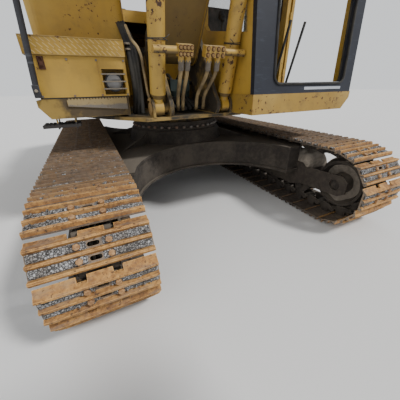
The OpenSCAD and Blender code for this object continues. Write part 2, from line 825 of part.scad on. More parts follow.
module toolbox() {
    wall = 10;
    lamp_x0 = -958;
    lamp_x1 = -778;
    color("#b98a1f") placed() difference() {
        union() {
            difference() {
                translate([-box_x1, -box_front, deck_z]) cube([box_x1 - box_x0, box_d, box_h]);
                translate([-box_x1 + wall, -box_front + wall, deck_z + wall])
                    cube([box_x1 - box_x0 - 2 * wall, box_d - 2 * wall, box_h]);
            }
            translate([lamp_x0 - wall, -box_front, deck_z + 10])
                cube([lamp_x1 - lamp_x0 + 2 * wall, 150, 215]);
        }
        translate([lamp_x0, -box_front - 1, deck_z + 20]) cube([lamp_x1 - lamp_x0, 141, 193]);
    }
    color("#b98a1f") placed() lid_hinges() lid_barrel() {
        translate([0, 0, -4]) cube([hinge_h / 2 - seat, panel_hinge_r + 4, 7]);
        translate([0, panel_hinge_r + 1, -lid_h - 80]) cube([hinge_h / 2 - seat, 3, lid_h + 80]);
        translate([0, panel_hinge_r - 1, -lid_h - 80]) cube([hinge_h / 2 - seat, 4, 60]);
    }
}

module lid_hinges() {
    for (x = [200, box_x1 - box_x0 - 200]) translate([-box_x1 + x, lid_axis.x, lid_axis.y]) children();
}

module toolbox_lid() {
    wall = 8;
    base = deck_z + box_h + seat;
    color("#b98a1f") placed() difference() {
        translate([-box_x1 - 25, -box_front - lid_proud, base])
            cube([box_x1 - box_x0 + 30, box_d + lid_proud, lid_h]);
        translate([-box_x1 - 25 + wall, -box_front - lid_proud + wall, base - 1])
            cube([box_x1 - box_x0 + 30 - 2 * wall, box_d + lid_proud - 2 * wall, lid_h - wall + 1]);
    }
    color("#b98a1f") placed() lid_hinges() lid_barrel_moving()
        translate([0, -panel_hinge_r, -panel_hinge_r - 1]) cube([hinge_h / 2, panel_hinge_r, panel_hinge_r]);
}

module work_lamp() {
    color("#8d9296") placed() {
        translate([-868, -box_front + 140 - seat, deck_z + 116]) rotate([90, 0, 0]) {
            cylinder(r = 25, h = 40);
            translate([0, 0, 30]) cylinder(r1 = 40, r2 = 70, h = 40);
            translate([0, 0, 70]) cylinder(r = 76, h = 22);
        }
        for (z = [60, 116, 172]) translate([-958 - 8, -box_front - 8, deck_z + z]) cube([196, 8 - seat, 10]);
    }
}

module grab_rail() {
    r = rail_d / 2;
    lid_reach = norm([lid_axis.x + box_front + lid_proud, lid_h + panel_hinge_r]);
    front = lid_axis.x - lid_reach - r - clear;
    foot_x = -box_x1 - 5;
    rail_x = -box_x1 + 55;
    top = tank_z + 300;
    tail_y = 240;
    color("#4a4340") placed() {
        swept(bent([
            [foot_x, front, deck_z + 12], [rail_x, front, deck_z + 700], [rail_x + 10, front + 200, top - 80],
            [rail_x + 10, front + 380, top], [rail_x + 10, tail_y, top], [rail_x + 10, tail_y, tank_z + seat]
        ], 60, 3), r, 12, [1, 0, 0]);
        translate([foot_x - r, front, deck_z + 10]) cube([2 * r, -box_front - seat - front, 40]);
    }
}

module swing_motor() {
    color("#5f7471") placed() translate([boom_x + 50, -600, floor_z + floor_t]) {
        cylinder(r = 155, h = 40);
        cylinder(r = 135, h = 200);
        translate([-110, -95, 200]) cube([220, 190, 110]);
    }
}

// The bank of spool sections that feeds the cylinders, on the house floor behind the boom's foot
module control_valve() {
    sections = 7;
    pitch = 58;
    color("#4d4a44") placed() translate([boom_x - sections * pitch / 2, cab_back_y + 60, deck_z]) {
        for (x = [20, sections * pitch - 50]) translate([x, 20, 0]) cube([30, 220, 62]);
        translate([0, 60, 60]) cube([sections * pitch, 130, 190]);
        for (i = [0:sections - 1]) translate([(i + 0.5) * pitch, 0, 0]) {
            translate([-27, 20, 80]) cube([54, 210, 150]);
            translate([0, 270, 125]) rotate([90, 0, 0]) cylinder(r = 21, h = 310);
            for (y = [80, 160]) translate([0, y, 200]) cylinder(r = 19, h = 75);
        }
    }
}

cab_len = cab_front_y + cab_back_y;
cab_h = roof_z - 90 - deck_z;
front_back = cab_h * tan(front_lean);
door_x = cab_x1 - door_t;
door_a0 = cab_front_y - 190;
door_a1 = door_a0 - door_w;
door_z0 = deck_z + 60;
door_z1 = roof_z - 200;

function rounded_box(x0, y0, x1, y1, r) = concat(
    arc([x1 - r, y0 + r], r, -90, 0, 4), arc([x1 - r, y1 - r], r, 0, 90, 4),
    arc([x0 + r, y1 - r], r, 90, 180, 4), arc([x0 + r, y0 + r], r, 180, 270, 4)
);

// The front frame leans back about its foot
module cab_front() {
    slant = cab_h / cos(front_lean);
    color("#20242e") placed() difference() {
        translate([0, -cab_front_y, deck_z]) rotate([90 - front_lean, 0, 0])
            translate([0, 0, -cab_wall]) linear_extrude(cab_wall) difference() {
                translate([cab_x0, 0]) square([cab_x1 - cab_x0, slant]);
                polygon(rounded_box(420, 80, 1350, slant - 110, 70));
            }
        translate([0, -cab_front_y - cab_wall, deck_z - cab_wall]) cube([2 * cab_x1, 4 * cab_wall, cab_wall]);
    }
}

// Side view of a cab wall behind the leaning front
module cab_side_outline() {
    back = cab_wall / cos(front_lean) + 1;
    polygon([
        [cab_front_y - back, deck_z], [cab_front_y - back - front_back, deck_z + cab_h],
        [-cab_back_y, deck_z + cab_h], [-cab_back_y, deck_z]
    ]);
}

module cab_inner_side() {
    color("#b98a1f") placed() plate_at(cab_x0 + cab_wall / 2, cab_wall) difference() {
        cab_side_outline();
        polygon([
            [cab_front_y - 160, deck_z + 470], [cab_front_y - 330 , roof_z - 260], [560, roof_z - 260],
            [560, deck_z + 660], [620, deck_z + 600]
        ]);
        polygon(rounded_box(-cab_back_y + 130, deck_z + 800, 420, roof_z - 260, 50));
    }
}

module cab_outer_side() {
    color("#b98a1f") placed() plate_at(cab_x1 - cab_wall / 2, cab_wall) difference() {
        cab_side_outline();
        polygon([
            [door_a0 + clear, door_z0 - clear], [door_a0 + clear - 90, door_z1 + clear],
            [door_a1 - clear, door_z1 + clear], [door_a1 - clear, door_z0 - clear]
        ]);
        polygon(rounded_box(-cab_back_y + 130, deck_z + 800, door_a1 - 110, roof_z - 260, 50));
    }
    color("#b98a1f") placed() door_hinges() hinge_fixed(door_hinge_r, hinge_h, 1);
}

module cab_rear() {
    color("#b98a1f") placed() translate([0, cab_back_y, deck_z]) rotate([90, 0, 0]) linear_extrude(cab_wall)
        difference() {
            translate([cab_x0 + cab_wall, 0]) square([cab_x1 - cab_x0 - 2 * cab_wall, cab_h]);
            polygon(rounded_box(cab_x0 + 190, 780, cab_x1 - 190, cab_h - 150, 50));
        }
}

module cab_roof() {
    color("#a87c1d") placed() translate([cab_x0 - 5, 0, deck_z + cab_h + seat]) rotate([90, 0, 90])
        linear_extrude(cab_x1 - cab_x0 + 10) polygon([
            [-cab_front_y + front_back - 40, 0], [cab_back_y + 10, 0], [cab_back_y + 10, 60],
            [cab_back_y - 40, 90], [-cab_front_y + front_back + 60, 90], [-cab_front_y + front_back - 40, 40]
        ]);
}

module cab_glass() {
    pane = 6;
    side_pane = rounded_box(-cab_back_y + 120, deck_z + 790, door_a1 - 100, roof_z - 250, 50);
    color("#9fb4bb") placed() {
        plate_at(cab_x1 - cab_wall / 2, pane) intersection() {
            polygon(rounded_box(-cab_back_y + 130 + seat, deck_z + 800 + seat, door_a1 - 110 - seat,
                roof_z - 260 - seat, 50));
            polygon(side_pane);
        }
        translate([0, cab_back_y - cab_wall / 2 + pane / 2, deck_z]) rotate([90, 0, 0]) linear_extrude(pane)
            polygon(rounded_box(cab_x0 + 190 + seat, 780 + seat, cab_x1 - 190 - seat,
                cab_h - 150 - seat, 50));
        plate_at(cab_x0 + cab_wall / 2, pane)
            polygon(rounded_box(-cab_back_y + 130 + seat, deck_z + 800 + seat, 420 - seat,
                roof_z - 260 - seat, 50));
    }
}

module seat() {
    color("#3a2f28") placed() translate([560, -500, deck_z]) {
        translate([60, 40, 0]) cube([380, 420, 260]);
        translate([0, 0, 260]) cube([500, 500, 120]);
        translate([0, 395, 330]) rotate([-12, 0, 0]) cube([500, 105, 670]);
    }
}

module controls() {
    color("#2b2b2b") placed() {
        for (side = [-1, 1]) translate([810 + side * 360 - 80, -560, deck_z]) {
            cube([160, 620, 520]);
            translate([80, 60, 515]) rotate([12, 0, 0]) cylinder(r = 14, h = 240);
            translate([80, 15, 735]) sphere(r = 34);
        }
        for (side = [-1, 1]) {
            translate([810 + side * 90, -1150, deck_z + 10]) rotate([15, 0, 0]) cylinder(r = 12, h = 610);
            translate([810 + side * 90 - 50, -1260, deck_z]) cube([100, 220, 50]);
        }
    }
}

// Moves what is drawn for the closed door to the angle at which the door stands
module door_swung() {
    hinge_x = cab_x1 + door_hinge_r + 0.5;
    translate([hinge_x, -door_a1, 0]) rotate([0, 0, door_open]) translate([-hinge_x, door_a1, 0]) children();
}

module door_hinges() {
    for (z = [door_z0 + 120, (door_z0 + door_z1) / 2, door_z1 - 200])
        translate([cab_x1 + door_hinge_r + 0.5, -door_a1, z]) children();
}

module door_outline(inset) {
    polygon([
        [door_a0 - inset, door_z0 + inset], [door_a0 - inset - 85, door_z1 - inset],
        [door_a1 + inset, door_z1 - inset], [door_a1 + inset, door_z0 + inset]
    ]);
}

module cab_door() {
    color("#b98a1f") placed() door_swung() {
        plate_at(cab_x1 - door_t / 2, door_t) difference() {
            door_outline(0);
            intersection() {
                door_outline(80);
                translate([0, deck_z + 750]) square([2000, 2000]);
            }
        }
        door_hinges() hinge_moving(door_hinge_r, hinge_h, 1);
    }
}

module door_glass() {
    color("#9fb4bb") placed() door_swung() plate_at(cab_x1 - door_t / 2, 6) intersection() {
        door_outline(80 + seat);
        translate([0, deck_z + 750 + seat]) square([2000, 2000]);
    }
}

// Boom outline in its own frame: along the foot-to-tip line, then up. The side plates have no inset,
// the top and bottom plates between them lie that far inside the outline.
module boom_outline(inset) {
    knee = boom_len * 0.47;
    polygon(concat(
        arc([0, 0], boss_r - inset, 120, 290, 12),
        [for (p = [[-720, 250], [-420, 330], [-20, 430], [330, 400]]) [knee + p.x, p.y + inset]],
        [[boom_len - 500, inset - 120]],
        arc([boom_len, 0], 155 - inset, -120, 70, 10),
        [[knee + 630, 1000 - inset]],
        arc([knee + 10, 700], 480 - inset, 55, 115, 8),
        [[knee - 720, 1080 - inset], [900, 640 - inset]]
    ));
}

module boom() {
    slot_w = stick_w + 2 * clear + 6;
    tip_half = boom_w / 2 + 20;
    ram_boss = ram_x - ram_eye_w / 2 - boom_w / 2 - 2 * clear;
    color("#b98a1f") placed() cross_pin(boom_tip, boom_x - tip_half, boom_x + tip_half, pin_r);
    color("#b98a1f") placed() difference() {
        union() {
            plate_at(boom_x, boom_w - 2 * side_t + 2)
                translate(foot) rotate(boom_dir) boom_outline(flange_in);
            for (side = [-1, 1]) {
                plate_at(boom_x + side * (boom_w - side_t) / 2, side_t)
                    translate(foot) rotate(boom_dir) boom_outline(0);
                plate_at(boom_x + side * (ear_in + ear_t / 2), ear_t)
                    translate(foot) rotate(boom_dir) polygon(concat(
                        [stick_base + [-330, -260]], arc(stick_base, eye_r, 140, 20, 8),
                        [stick_base + [380, -260]]
                    ));
                cross_pin(ram_eye, boom_x + side * boom_w / 2 - ram_boss,
                    boom_x + side * boom_w / 2 + ram_boss, ram_pin_r + 30);
            }
            cross_pin(stick_ram_pin, boom_x - ear_in - ear_t - 10, boom_x + ear_in + ear_t + 10, small_pin_r);
            for (side = [-1, 1]) cross_pin(boom_tip, boom_x + side * (tip_half - 25) - 25,
                boom_x + side * (tip_half - 25) + 25, 150);
        }
        cross_pin(foot, boom_x - boom_w, boom_x + boom_w, pin_r + fit);
        plate_at(boom_x, slot_w) translate(boom_tip) rotate(boom_dir) polygon([
            [-500, -500], [-500, -160], [-256, 14], [-625, 500], [400, 500], [400, -500]
        ]);
        cross_pin(boom_tip, boom_x - boom_w, boom_x + boom_w, pin_r);
    }
}

// A hydraulic barrel with its foot eye at the origin, drawn up +Z
module barrel(length, d, rod_r, eye_w, pin, neck) {
    difference() {
        union() {
            rotate([0, 90, 0]) cylinder(r = pin + eye_wall, h = eye_w, center = true);
            cylinder(r = eye_w / 2, h = neck + 1);
            translate([0, 0, neck]) cylinder(r1 = eye_w / 2, r2 = d / 2, h = 40);
            translate([0, 0, neck + 40]) cylinder(r = d / 2, h = length - neck - 40);
            translate([0, 0, length - 90]) cylinder(r = d / 2 + 10, h = 90);
        }
        rotate([0, 90, 0]) cylinder(r = pin + fit, h = eye_w + 2, center = true);
        translate([0, 0, neck + 55]) cylinder(r = d / 2 - 12, h = length - neck - 55 - 70);
        translate([0, 0, neck + 55]) cylinder(r = rod_r + fit, h = length);
    }
}

// A rod with a piston, from the piston's end up to its eye
module ram_rod(eye_at, length, d, rod_r, eye_w) {
    translate([0, 0, eye_at - length]) cylinder(r = rod_r, h = length - 20);
    translate([0, 0, eye_at - length]) cylinder(r = d / 2 - 12 - fit, h = 80);
    translate([0, 0, eye_at]) rotate([0, 90, 0]) {
        cylinder(r = d / 2 + 10, h = eye_w, center = true);
        cylinder(r = small_pin_r - 8, h = eye_w + 6, center = true);
    }
}

ram_barrel = 1560;
ram_rod_len = 1300;
ram_rod_r = 45;

// The bolted block that feeds a boom cylinder, carried by a pipe across the barrel's front
module port_block(reach, width, tail) {
    ahead = -ram_d / 2 - 45;
    translate([-tail, ahead, port_rise]) rotate([0, 90, 0]) cylinder(r = 26, h = tail + reach - width + 1);
    translate([0, 6 - ram_d / 2, port_rise]) rotate([90, 0, 0]) cylinder(r = 24, h = 6 - ram_d / 2 - ahead);
    translate([reach - width, ahead - 32, port_rise - 40]) cube([width, 64, 80]);
    for (k = [0.27, 0.73])
        translate([reach - width + k * width, ahead, port_rise - 75]) cylinder(r = 24, h = 50);
}

module boom_cylinders() {
    color("#b98a1f") placed() for (side = [-1, 1])
        aimed(ram_foot, boom_x + side * ram_x, 90 - ram_lean) {
            barrel(ram_barrel, ram_d, ram_rod_r, ram_eye_w, ram_pin_r, ram_ear_r + clear);
            mirror([side > 0 ? 1 : 0, 0, 0]) port_block(side > 0 ? 320 : 250, side > 0 ? 180 : 120, 62);
        }
}

module boom_rods() {
    color("#c9ccd0") placed() for (side = [-1, 1])
        aimed(ram_foot, boom_x + side * ram_x, 90 - ram_lean)
            ram_rod(ram_len, ram_rod_len, ram_d, ram_rod_r, ram_eye_w);
}

stick_barrel = 2330;
stick_rod_len = 1950;
small_rod_r = 42;

module stick_cylinder() {
    color("#b98a1f") placed() aimed(stick_ram_pin, boom_x, heading(heel_pin - stick_ram_pin))
        barrel(stick_barrel, small_ram_d, small_rod_r, 2 * (ear_in - clear), small_pin_r, small_pin_r);
}

module stick_rod() {
    color("#c9ccd0") placed() aimed(stick_ram_pin, boom_x, heading(heel_pin - stick_ram_pin))
        ram_rod(stick_ram_len, stick_rod_len, small_ram_d, small_rod_r, 100);
}

cup_barrel = 1500;
cup_rod_len = 1300;

module bucket_cylinder() {
    color("#b98a1f") placed() aimed(cup_pin, boom_x, heading(knee_pin - cup_pin))
        barrel(cup_barrel, small_ram_d, small_rod_r, 2 * (ear_in - clear), small_pin_r, small_pin_r);
}

module bucket_rod() {
    color("#c9ccd0") placed() aimed(cup_pin, boom_x, heading(knee_pin - cup_pin))
        ram_rod(cup_ram_len, cup_rod_len, small_ram_d, small_rod_r, 90);
}

module stick_outline(inset) {
    polygon(concat(
        arc(stick_heel, 120 - inset, 60, 200, 8),
        [[inset - 160, inset - 120]],
        arc([0, 0], 165 - inset, 220, 290, 6),
        [[500, inset - 230], [stick_len - 350, inset - 110]],
        arc([stick_len, 0], 95 - inset, -90, 90, 8),
        [[stick_len - 380, 130 - inset], [900, 330 - inset], [200, 360 - inset]]
    ));
}

module stick() {
    color("#b98a1f") placed() difference() {
        union() {
            plate_at(boom_x, stick_w - 2 * side_t + 2)
                translate(boom_tip) rotate(stick_dir) stick_outline(flange_in);
            for (side = [-1, 1]) {
                plate_at(boom_x + side * (stick_w - side_t) / 2, side_t)
                    translate(boom_tip) rotate(stick_dir) stick_outline(0);
                plate_at(boom_x + side * (ear_in + ear_t / 2), ear_t)
                    translate(boom_tip) rotate(stick_dir) polygon(concat(
                        [[180, 320]], arc(cup_base, 85, 150, 20, 8), [[800, 310], [500, 200]]
                    ));
                cross_pin(rocker_pin, boom_x + side * (stick_w / 2 + 20) - 45,
                    boom_x + side * (stick_w / 2 + 20) + 45, small_pin_r);
            }
            cross_pin(cup_pin, boom_x - ear_in - ear_t - 10, boom_x + ear_in + ear_t + 10, small_pin_r);
        }
        cross_pin(boom_tip, boom_x - boom_w, boom_x + boom_w, pin_r + fit);
        cross_pin(bucket_pin, boom_x - boom_w, boom_x + boom_w, pin_r + fit);
        plate_at(boom_x, 120) translate(boom_tip) rotate(stick_dir) polygon([
            [-1000, -600], [-200, -600], [-200, 700], [-1000, 700]
        ]);
    }
}

rocker_x = stick_w / 2 + 8;
rocker_t = 30;

module rocker() {
    aim = heading(knee_pin - rocker_pin);
    waist = 60;
    color("#a87c1d") placed() for (side = [-1, 1]) {
        difference() {
            plate_at(boom_x + side * (rocker_x + rocker_t / 2), rocker_t) {
                translate(rocker_pin) rotate(aim) translate([0, -waist]) square([rocker_len, 2 * waist]);
                for (p = [rocker_pin, knee_pin]) translate(p) circle(r = rocker_end_r);
            }
            cross_pin(rocker_pin, boom_x - boom_w, boom_x + boom_w, small_pin_r + fit);
        }
        cross_pin(knee_pin, boom_x + (side > 0 ? 70 : -rocker_x - rocker_t),
            boom_x + (side > 0 ? rocker_x + rocker_t : -70), small_pin_r);
    }
}

link_x = 70;

module bucket_link() {
    aim = heading(ear_pin - knee_pin);
    color("#a87c1d") placed() difference() {
        union() {
            for (side = [-1, 1]) plate_at(boom_x + side * (link_x + 40), 60) polygon(concat(
                arc(knee_pin, 70, aim + 95, aim + 265, 8), arc(ear_pin, 70, aim - 85, aim + 85, 8)
            ));
            plate_at(boom_x, 2 * link_x + 60) polygon([
                knee_pin + turned([220, -50], aim), knee_pin + turned([400, -50], aim),
                knee_pin + turned([400, 50], aim), knee_pin + turned([220, 50], aim)
            ]);
        }
        cross_pin(knee_pin, boom_x - boom_w, boom_x + boom_w, small_pin_r + fit);
    }
}

// Back of the bucket in its own frame, from the cutting edge round the heel to the ears
function bucket_back(inset) = concat(
    [[tip_r - 200 - inset, 40], [tip_r - 330 - inset, 330]],
    arc([560, 330], 430 - inset, 20, 110, 10),
    [[160, 660 - inset], [60 + inset, 590 - inset], [150 + inset, 20]]
);

module bucket_side() {
    polygon(concat([[tip_r - 420, -60], [tip_r - 240, -40]], bucket_back(0)));
}

module bucket() {
    wall = 25;
    half = bucket_w / 2;
    lug_t = 40;
    ear_x = stick_w / 2 + clear + 3;
    last = len(bucket_back(0)) - 1;
    color("#7b5a2c") placed() translate([boom_x, 0, 0]) {
        difference() {
            union() {
                for (side = [-1, 1]) plate_at(side * (half - wall / 2), wall)
                    translate(bucket_pin) rotate(bucket_turn) bucket_side();
                plate_at(0, bucket_w) translate(bucket_pin) rotate(bucket_turn) polygon(concat(
                    bucket_back(0), [for (i = [last:-1:0]) bucket_back(wall)[i]]
                ));
                plate_at(0, bucket_w) translate(bucket_pin) rotate(bucket_turn) polygon([
                    [tip_r - 110, -30], [tip_r - 110, 0], [tip_r - 200, 60], [tip_r - 260, 60],
                    [tip_r - 260, 20]
                ]);
                for (side = [-1, 1]) plate_at(side * (ear_x + lug_t / 2), lug_t)
                    translate(bucket_pin) rotate(bucket_turn) polygon(concat(
                        arc([0, 0], 115, 190, 330, 8), [[165, 30], [80, 580], [-75, ear_len + 50]],
                        arc(polar(ear_len, ear_up), 75, 100, 200, 6)
                    ));
            }
            cross_pin(bucket_pin, -half, half, pin_r);
        }
        cross_pin(bucket_pin, -ear_x - lug_t - 20, ear_x + lug_t + 20, pin_r);
        for (side = [-1, 1]) cross_pin(ear_pin, side > 0 ? link_x + 70 + clear : -ear_x - lug_t,
            side > 0 ? ear_x + lug_t : -link_x - 70 - clear, small_pin_r);
        for (i = [0:tooth_count - 1]) translate([(i / (tooth_count - 1) - 0.5) * (bucket_w - 110), 0, 0])
            plate_at(0, 70) translate(bucket_pin) rotate(bucket_turn) polygon([
                [tip_r, -8], [tip_r, 8], [tip_r - 130, 45], [tip_r - 260, 62], [tip_r - 240, 45],
                [tip_r - 120, -38]
            ]);
    }
}

carbody();
slew_ring();
track_frame_l();
track_frame_r();
track_l();
track_r();
idlers();
sprockets();
final_drives();
rollers();
deck();
cab_platform();
side_platform();
counterweight();
engine_block();
engine_housing();
exhaust();
air_cleaner();
fuel_tank();
hydraulic_tank();
toolbox();
toolbox_lid();
work_lamp();
grab_rail();
swing_motor();
cab_front();
cab_inner_side();
cab_outer_side();
cab_rear();
cab_roof();
cab_glass();
seat();
controls();
control_valve();
cab_door();
door_glass();
hood();
service_door_l();
service_door_r();
boom();
boom_cylinders();
boom_rods();
stick_cylinder();
stick_rod();
stick();
bucket_cylinder();
bucket_rod();
rocker();
bucket_link();
bucket();
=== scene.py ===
import json
import math
import random

import bmesh
import bpy
from mathutils import Matrix, Vector, noise


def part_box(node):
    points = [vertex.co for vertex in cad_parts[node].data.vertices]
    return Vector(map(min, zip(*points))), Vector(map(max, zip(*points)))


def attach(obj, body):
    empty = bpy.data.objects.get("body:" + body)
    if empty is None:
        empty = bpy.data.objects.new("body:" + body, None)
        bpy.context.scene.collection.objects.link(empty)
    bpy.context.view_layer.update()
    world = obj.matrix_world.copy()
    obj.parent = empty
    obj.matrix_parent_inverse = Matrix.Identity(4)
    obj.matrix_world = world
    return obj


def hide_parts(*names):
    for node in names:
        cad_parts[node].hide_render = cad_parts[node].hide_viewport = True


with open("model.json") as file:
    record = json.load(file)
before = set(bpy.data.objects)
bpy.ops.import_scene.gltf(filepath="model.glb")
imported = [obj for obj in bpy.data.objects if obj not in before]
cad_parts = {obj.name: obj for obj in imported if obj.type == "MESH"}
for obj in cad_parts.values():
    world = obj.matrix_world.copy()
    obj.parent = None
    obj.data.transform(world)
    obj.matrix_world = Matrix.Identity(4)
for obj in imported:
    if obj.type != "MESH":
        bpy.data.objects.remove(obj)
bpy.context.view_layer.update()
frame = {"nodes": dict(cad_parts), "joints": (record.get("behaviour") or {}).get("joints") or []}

joints = {joint["name"]: joint for joint in frame["joints"]}
slewY = joints["slew"]["pos_m"][1]
print("stage: frame loaded,", len(frame["nodes"]), "nodes")


def at(across, ahead, up):
    # a point given from the slew axis: to the cab's side, forward, and up from the ground
    return Vector((across, slewY - ahead, up))


# camera and light

cameraSetup = {
    "place": (-1.1302, 3.2409, 1.3771),  # across, ahead, up
    "turn": 25.0,        # degrees from straight at the machine, towards its cab side
    "dip": 27.49,
    "roll": -0.97,
    "lens": 19.77,
    "sensor": 36.0,
    "farthest": 200.0,
}


def placed(name, data):
    # a new object that holds the data, linked into the scene
    made = bpy.data.objects.new(name, data)
    bpy.context.scene.collection.objects.link(made)
    return made


def makeCamera(setup):
    turn, dip, roll = (math.radians(setup[key]) for key in ("turn", "dip", "roll"))
    forward = Vector((math.sin(turn) * math.cos(dip), math.cos(turn) * math.cos(dip), -math.sin(dip)))
    level = Vector((math.cos(turn), -math.sin(turn), 0))
    upright = level.cross(forward)
    right = math.cos(roll) * level + math.sin(roll) * upright
    up = -math.sin(roll) * level + math.cos(roll) * upright
    data = bpy.data.cameras.new("photoCamera")
    data.lens = setup["lens"]
    data.sensor_width = setup["sensor"]
    data.clip_end = setup["farthest"]
    camera = placed("photoCamera", data)
    facing = Matrix((right, up, -forward)).transposed().to_quaternion()
    camera.matrix_world = Matrix.LocRotScale(at(*setup["place"]), facing, None)
    bpy.context.scene.camera = camera


sunSetups = {
    "keySun": {"from": (0.62, -0.60, 0.95), "power": 2.6, "spread": 9.0},
    "fillSun": {"from": (-0.8, -0.5, 0.45), "power": 0.55, "spread": 60.0},
}
stageSetup = {
    "skyPower": 0.62,
    "skyColor": (0.93, 0.96, 1.0),
    "backColor": (0.90, 0.92, 0.94),
    "floorHalf": 60.0,
    "floorColor": (0.80, 0.79, 0.77),
    "floorRough": 0.9,
}


def makeSun(name, setup):
    data = bpy.data.lights.new(name, "SUN")
    data.energy = setup["power"]
    data.angle = math.radians(setup["spread"])
    lamp = placed(name, data)
    lamp.rotation_euler = Vector(setup["from"]).to_track_quat("Z", "Y").to_euler()


# shader maths

class Sock:
    # an output socket that can be added, subtracted and multiplied like a number
    def __init__(self, shader, socket):
        self.shader = shader
        self.socket = socket

    def maths(self, operation, first, second):
        return self.shader.node("ShaderNodeMath", {"operation": operation}, {0: first, 1: second})

    def __add__(self, other):
        return self.maths("ADD", self, other)

    def __radd__(self, other):
        return self.maths("ADD", other, self)

    def __sub__(self, other):
        return self.maths("SUBTRACT", self, other)

    def __rsub__(self, other):
        return self.maths("SUBTRACT", other, self)

    def __mul__(self, other):
        return self.maths("MULTIPLY", self, other)

    def __rmul__(self, other):
        return self.maths("MULTIPLY", other, self)


class Shader:
    # the nodes of a new material, or of the world where it is given
    def __init__(self, name, world=None):
        self.owner = world or bpy.data.materials.new(name)
        self.owner.use_nodes = True
        self.tree = self.owner.node_tree
        self.tree.nodes.clear()
        self.place = self.node("ShaderNodeTexCoord", {}, {}, "Object")
        self.facing = self.node("ShaderNodeTexCoord", {}, {}, "Normal")

    def node(self, kind, settings, values, out=0):
        made = self.tree.nodes.new(kind)
        for key, value in settings.items():
            if key == "stops":
                ramp = made.color_ramp
                while len(ramp.elements) < len(value):
                    ramp.elements.new(0.5)
                for element, (place, color) in zip(ramp.elements, value):
                    element.position = place
                    element.color = (*color, 1)
            else:
                setattr(made, key, value)
        for key, value in values.items():
            if isinstance(value, Sock):
                self.tree.links.new(value.socket, made.inputs[key])
            elif hasattr(value, "__len__") and len(value) == 3 and made.inputs[key].type == "RGBA":
                made.inputs[key].default_value = (*value, 1)
            else:
                made.inputs[key].default_value = value
        return Sock(self, made.outputs[out])

    def noise(self, scale, detail=4, rough=0.55, stretch=None):
        place = self.place
        if stretch:
            place = self.node("ShaderNodeVectorMath", {"operation": "MULTIPLY"}, {0: place, 1: stretch})
        values = {"Vector": place, "Scale": scale, "Detail": detail, "Roughness": rough}
        return self.node("ShaderNodeTexNoise", {}, values, "Fac")

    def cells(self, scale, out, feature="F1"):
        values = {"Vector": self.place, "Scale": scale}
        return self.node("ShaderNodeTexVoronoi", {"feature": feature}, values, out)

    def ramp(self, value, low, high):
        # 0 below low, 1 above high, smooth between
        return self.node("ShaderNodeMapRange", {"interpolation_type": "SMOOTHSTEP"},
                         {"Value": value, "From Min": low, "From Max": high})

    def axis(self, letter, vector=None):
        return self.node("ShaderNodeSeparateXYZ", {}, {0: vector or self.place}, letter)

    def up(self):
        # 1 where the surface looks up, -1 where it looks down
        return self.axis("Z", self.facing)

    def mix(self, amount, first, second):
        return self.node("ShaderNodeMix", {"data_type": "RGBA"}, {0: amount, 6: first, 7: second}, 2)

    def patches(self, share, tint, color, low, high, *noise):
        # the color over the tint wherever a noise is high
        return self.mix(self.ramp(self.noise(*noise), low, high) * share, tint, color)

    def dusted(self, share, tint, color, low=0.5):
        # the color over the tint on what looks up
        return self.mix(self.ramp(self.up(), low, 0.95) * share, tint, color)

    def shades(self, value, *colors):
        stops = [(i / (len(colors) - 1), color) for i, color in enumerate(colors)]
        return self.node("ShaderNodeValToRGB", {"stops": stops}, {"Fac": value}, "Color")

    def edges(self, radius, low=0.02, high=0.20):
        # 1 along sharp outer and inner edges, found by comparing a rounded normal with the true one
        rounded = self.node("ShaderNodeBevel", {"samples": 4}, {"Radius": radius})
        true = self.node("ShaderNodeNewGeometry", {}, {}, "Normal")
        values = {0: rounded, 1: true}
        alike = self.node("ShaderNodeVectorMath", {"operation": "DOT_PRODUCT"}, values, "Value")
        return self.ramp(1 - alike, low, high)

    def bump(self, height, strength, distance):
        values = {"Height": height, "Strength": strength, "Distance": distance}
        return self.node("ShaderNodeBump", {}, values)

    def finish(self, color, roughness, metallic=0.0, normal=None, alpha=1.0):
        values = {"Base Color": color, "Roughness": roughness, "Metallic": metallic, "Alpha": alpha}
        if normal:
            values["Normal"] = normal
        self.output(self.node("ShaderNodeBsdfPrincipled", {}, values))
        return self.owner

    def output(self, surface, kind="ShaderNodeOutputMaterial"):
        end = self.tree.nodes.new(kind)
        self.tree.links.new(surface.socket, end.inputs["Surface"])


def makeStage(setup):
    # a plain floor, and a sky that lights the machine while a paler ground shows behind it
    world = bpy.context.scene.world or bpy.data.worlds.new("studio")
    bpy.context.scene.world = world
    s = Shader("studio", world)
    seen = s.node("ShaderNodeMath", {"operation": "MAXIMUM"},
                  {k: s.node("ShaderNodeLightPath", {}, {}, ray)
                   for k, ray in enumerate(("Is Camera Ray", "Is Transmission Ray"))})
    sky = s.node("ShaderNodeBackground", {}, {"Color": setup["skyColor"], "Strength": setup["skyPower"]})
    back = s.node("ShaderNodeBackground", {}, {"Color": setup["backColor"], "Strength": 1})
    s.output(s.node("ShaderNodeMixShader", {}, {0: seen, 1: sky, 2: back}), "ShaderNodeOutputWorld")
    half = setup["floorHalf"]
    mesh = bpy.data.meshes.new("floor")
    corners = [at(-half, -half, 0), at(half, -half, 0), at(half, half, 0), at(-half, half, 0)]
    mesh.from_pydata(corners, [], [(3, 2, 1, 0)])
    mesh.materials.append(Shader("floorPaint").finish(setup["floorColor"], setup["floorRough"]))
    placed("floor", mesh)


makeCamera(cameraSetup)
for name, setup in sunSetups.items():
    makeSun(name, setup)
makeStage(stageSetup)
print("stage: camera, light and floor")


# finishes

paintLook = {
    "body": (0.46, 0.275, 0.038),
    "pale": (0.52, 0.345, 0.085),
    "dull": (0.29, 0.18, 0.043),
    "rust": (0.055, 0.026, 0.015),
    "rustRim": (0.22, 0.100, 0.032),
    "dust": (0.34, 0.28, 0.19),
    # grime: the colour of the grime patches, and also of the painted shade on faces that look down
    "grime": (0.055, 0.045, 0.033),
}


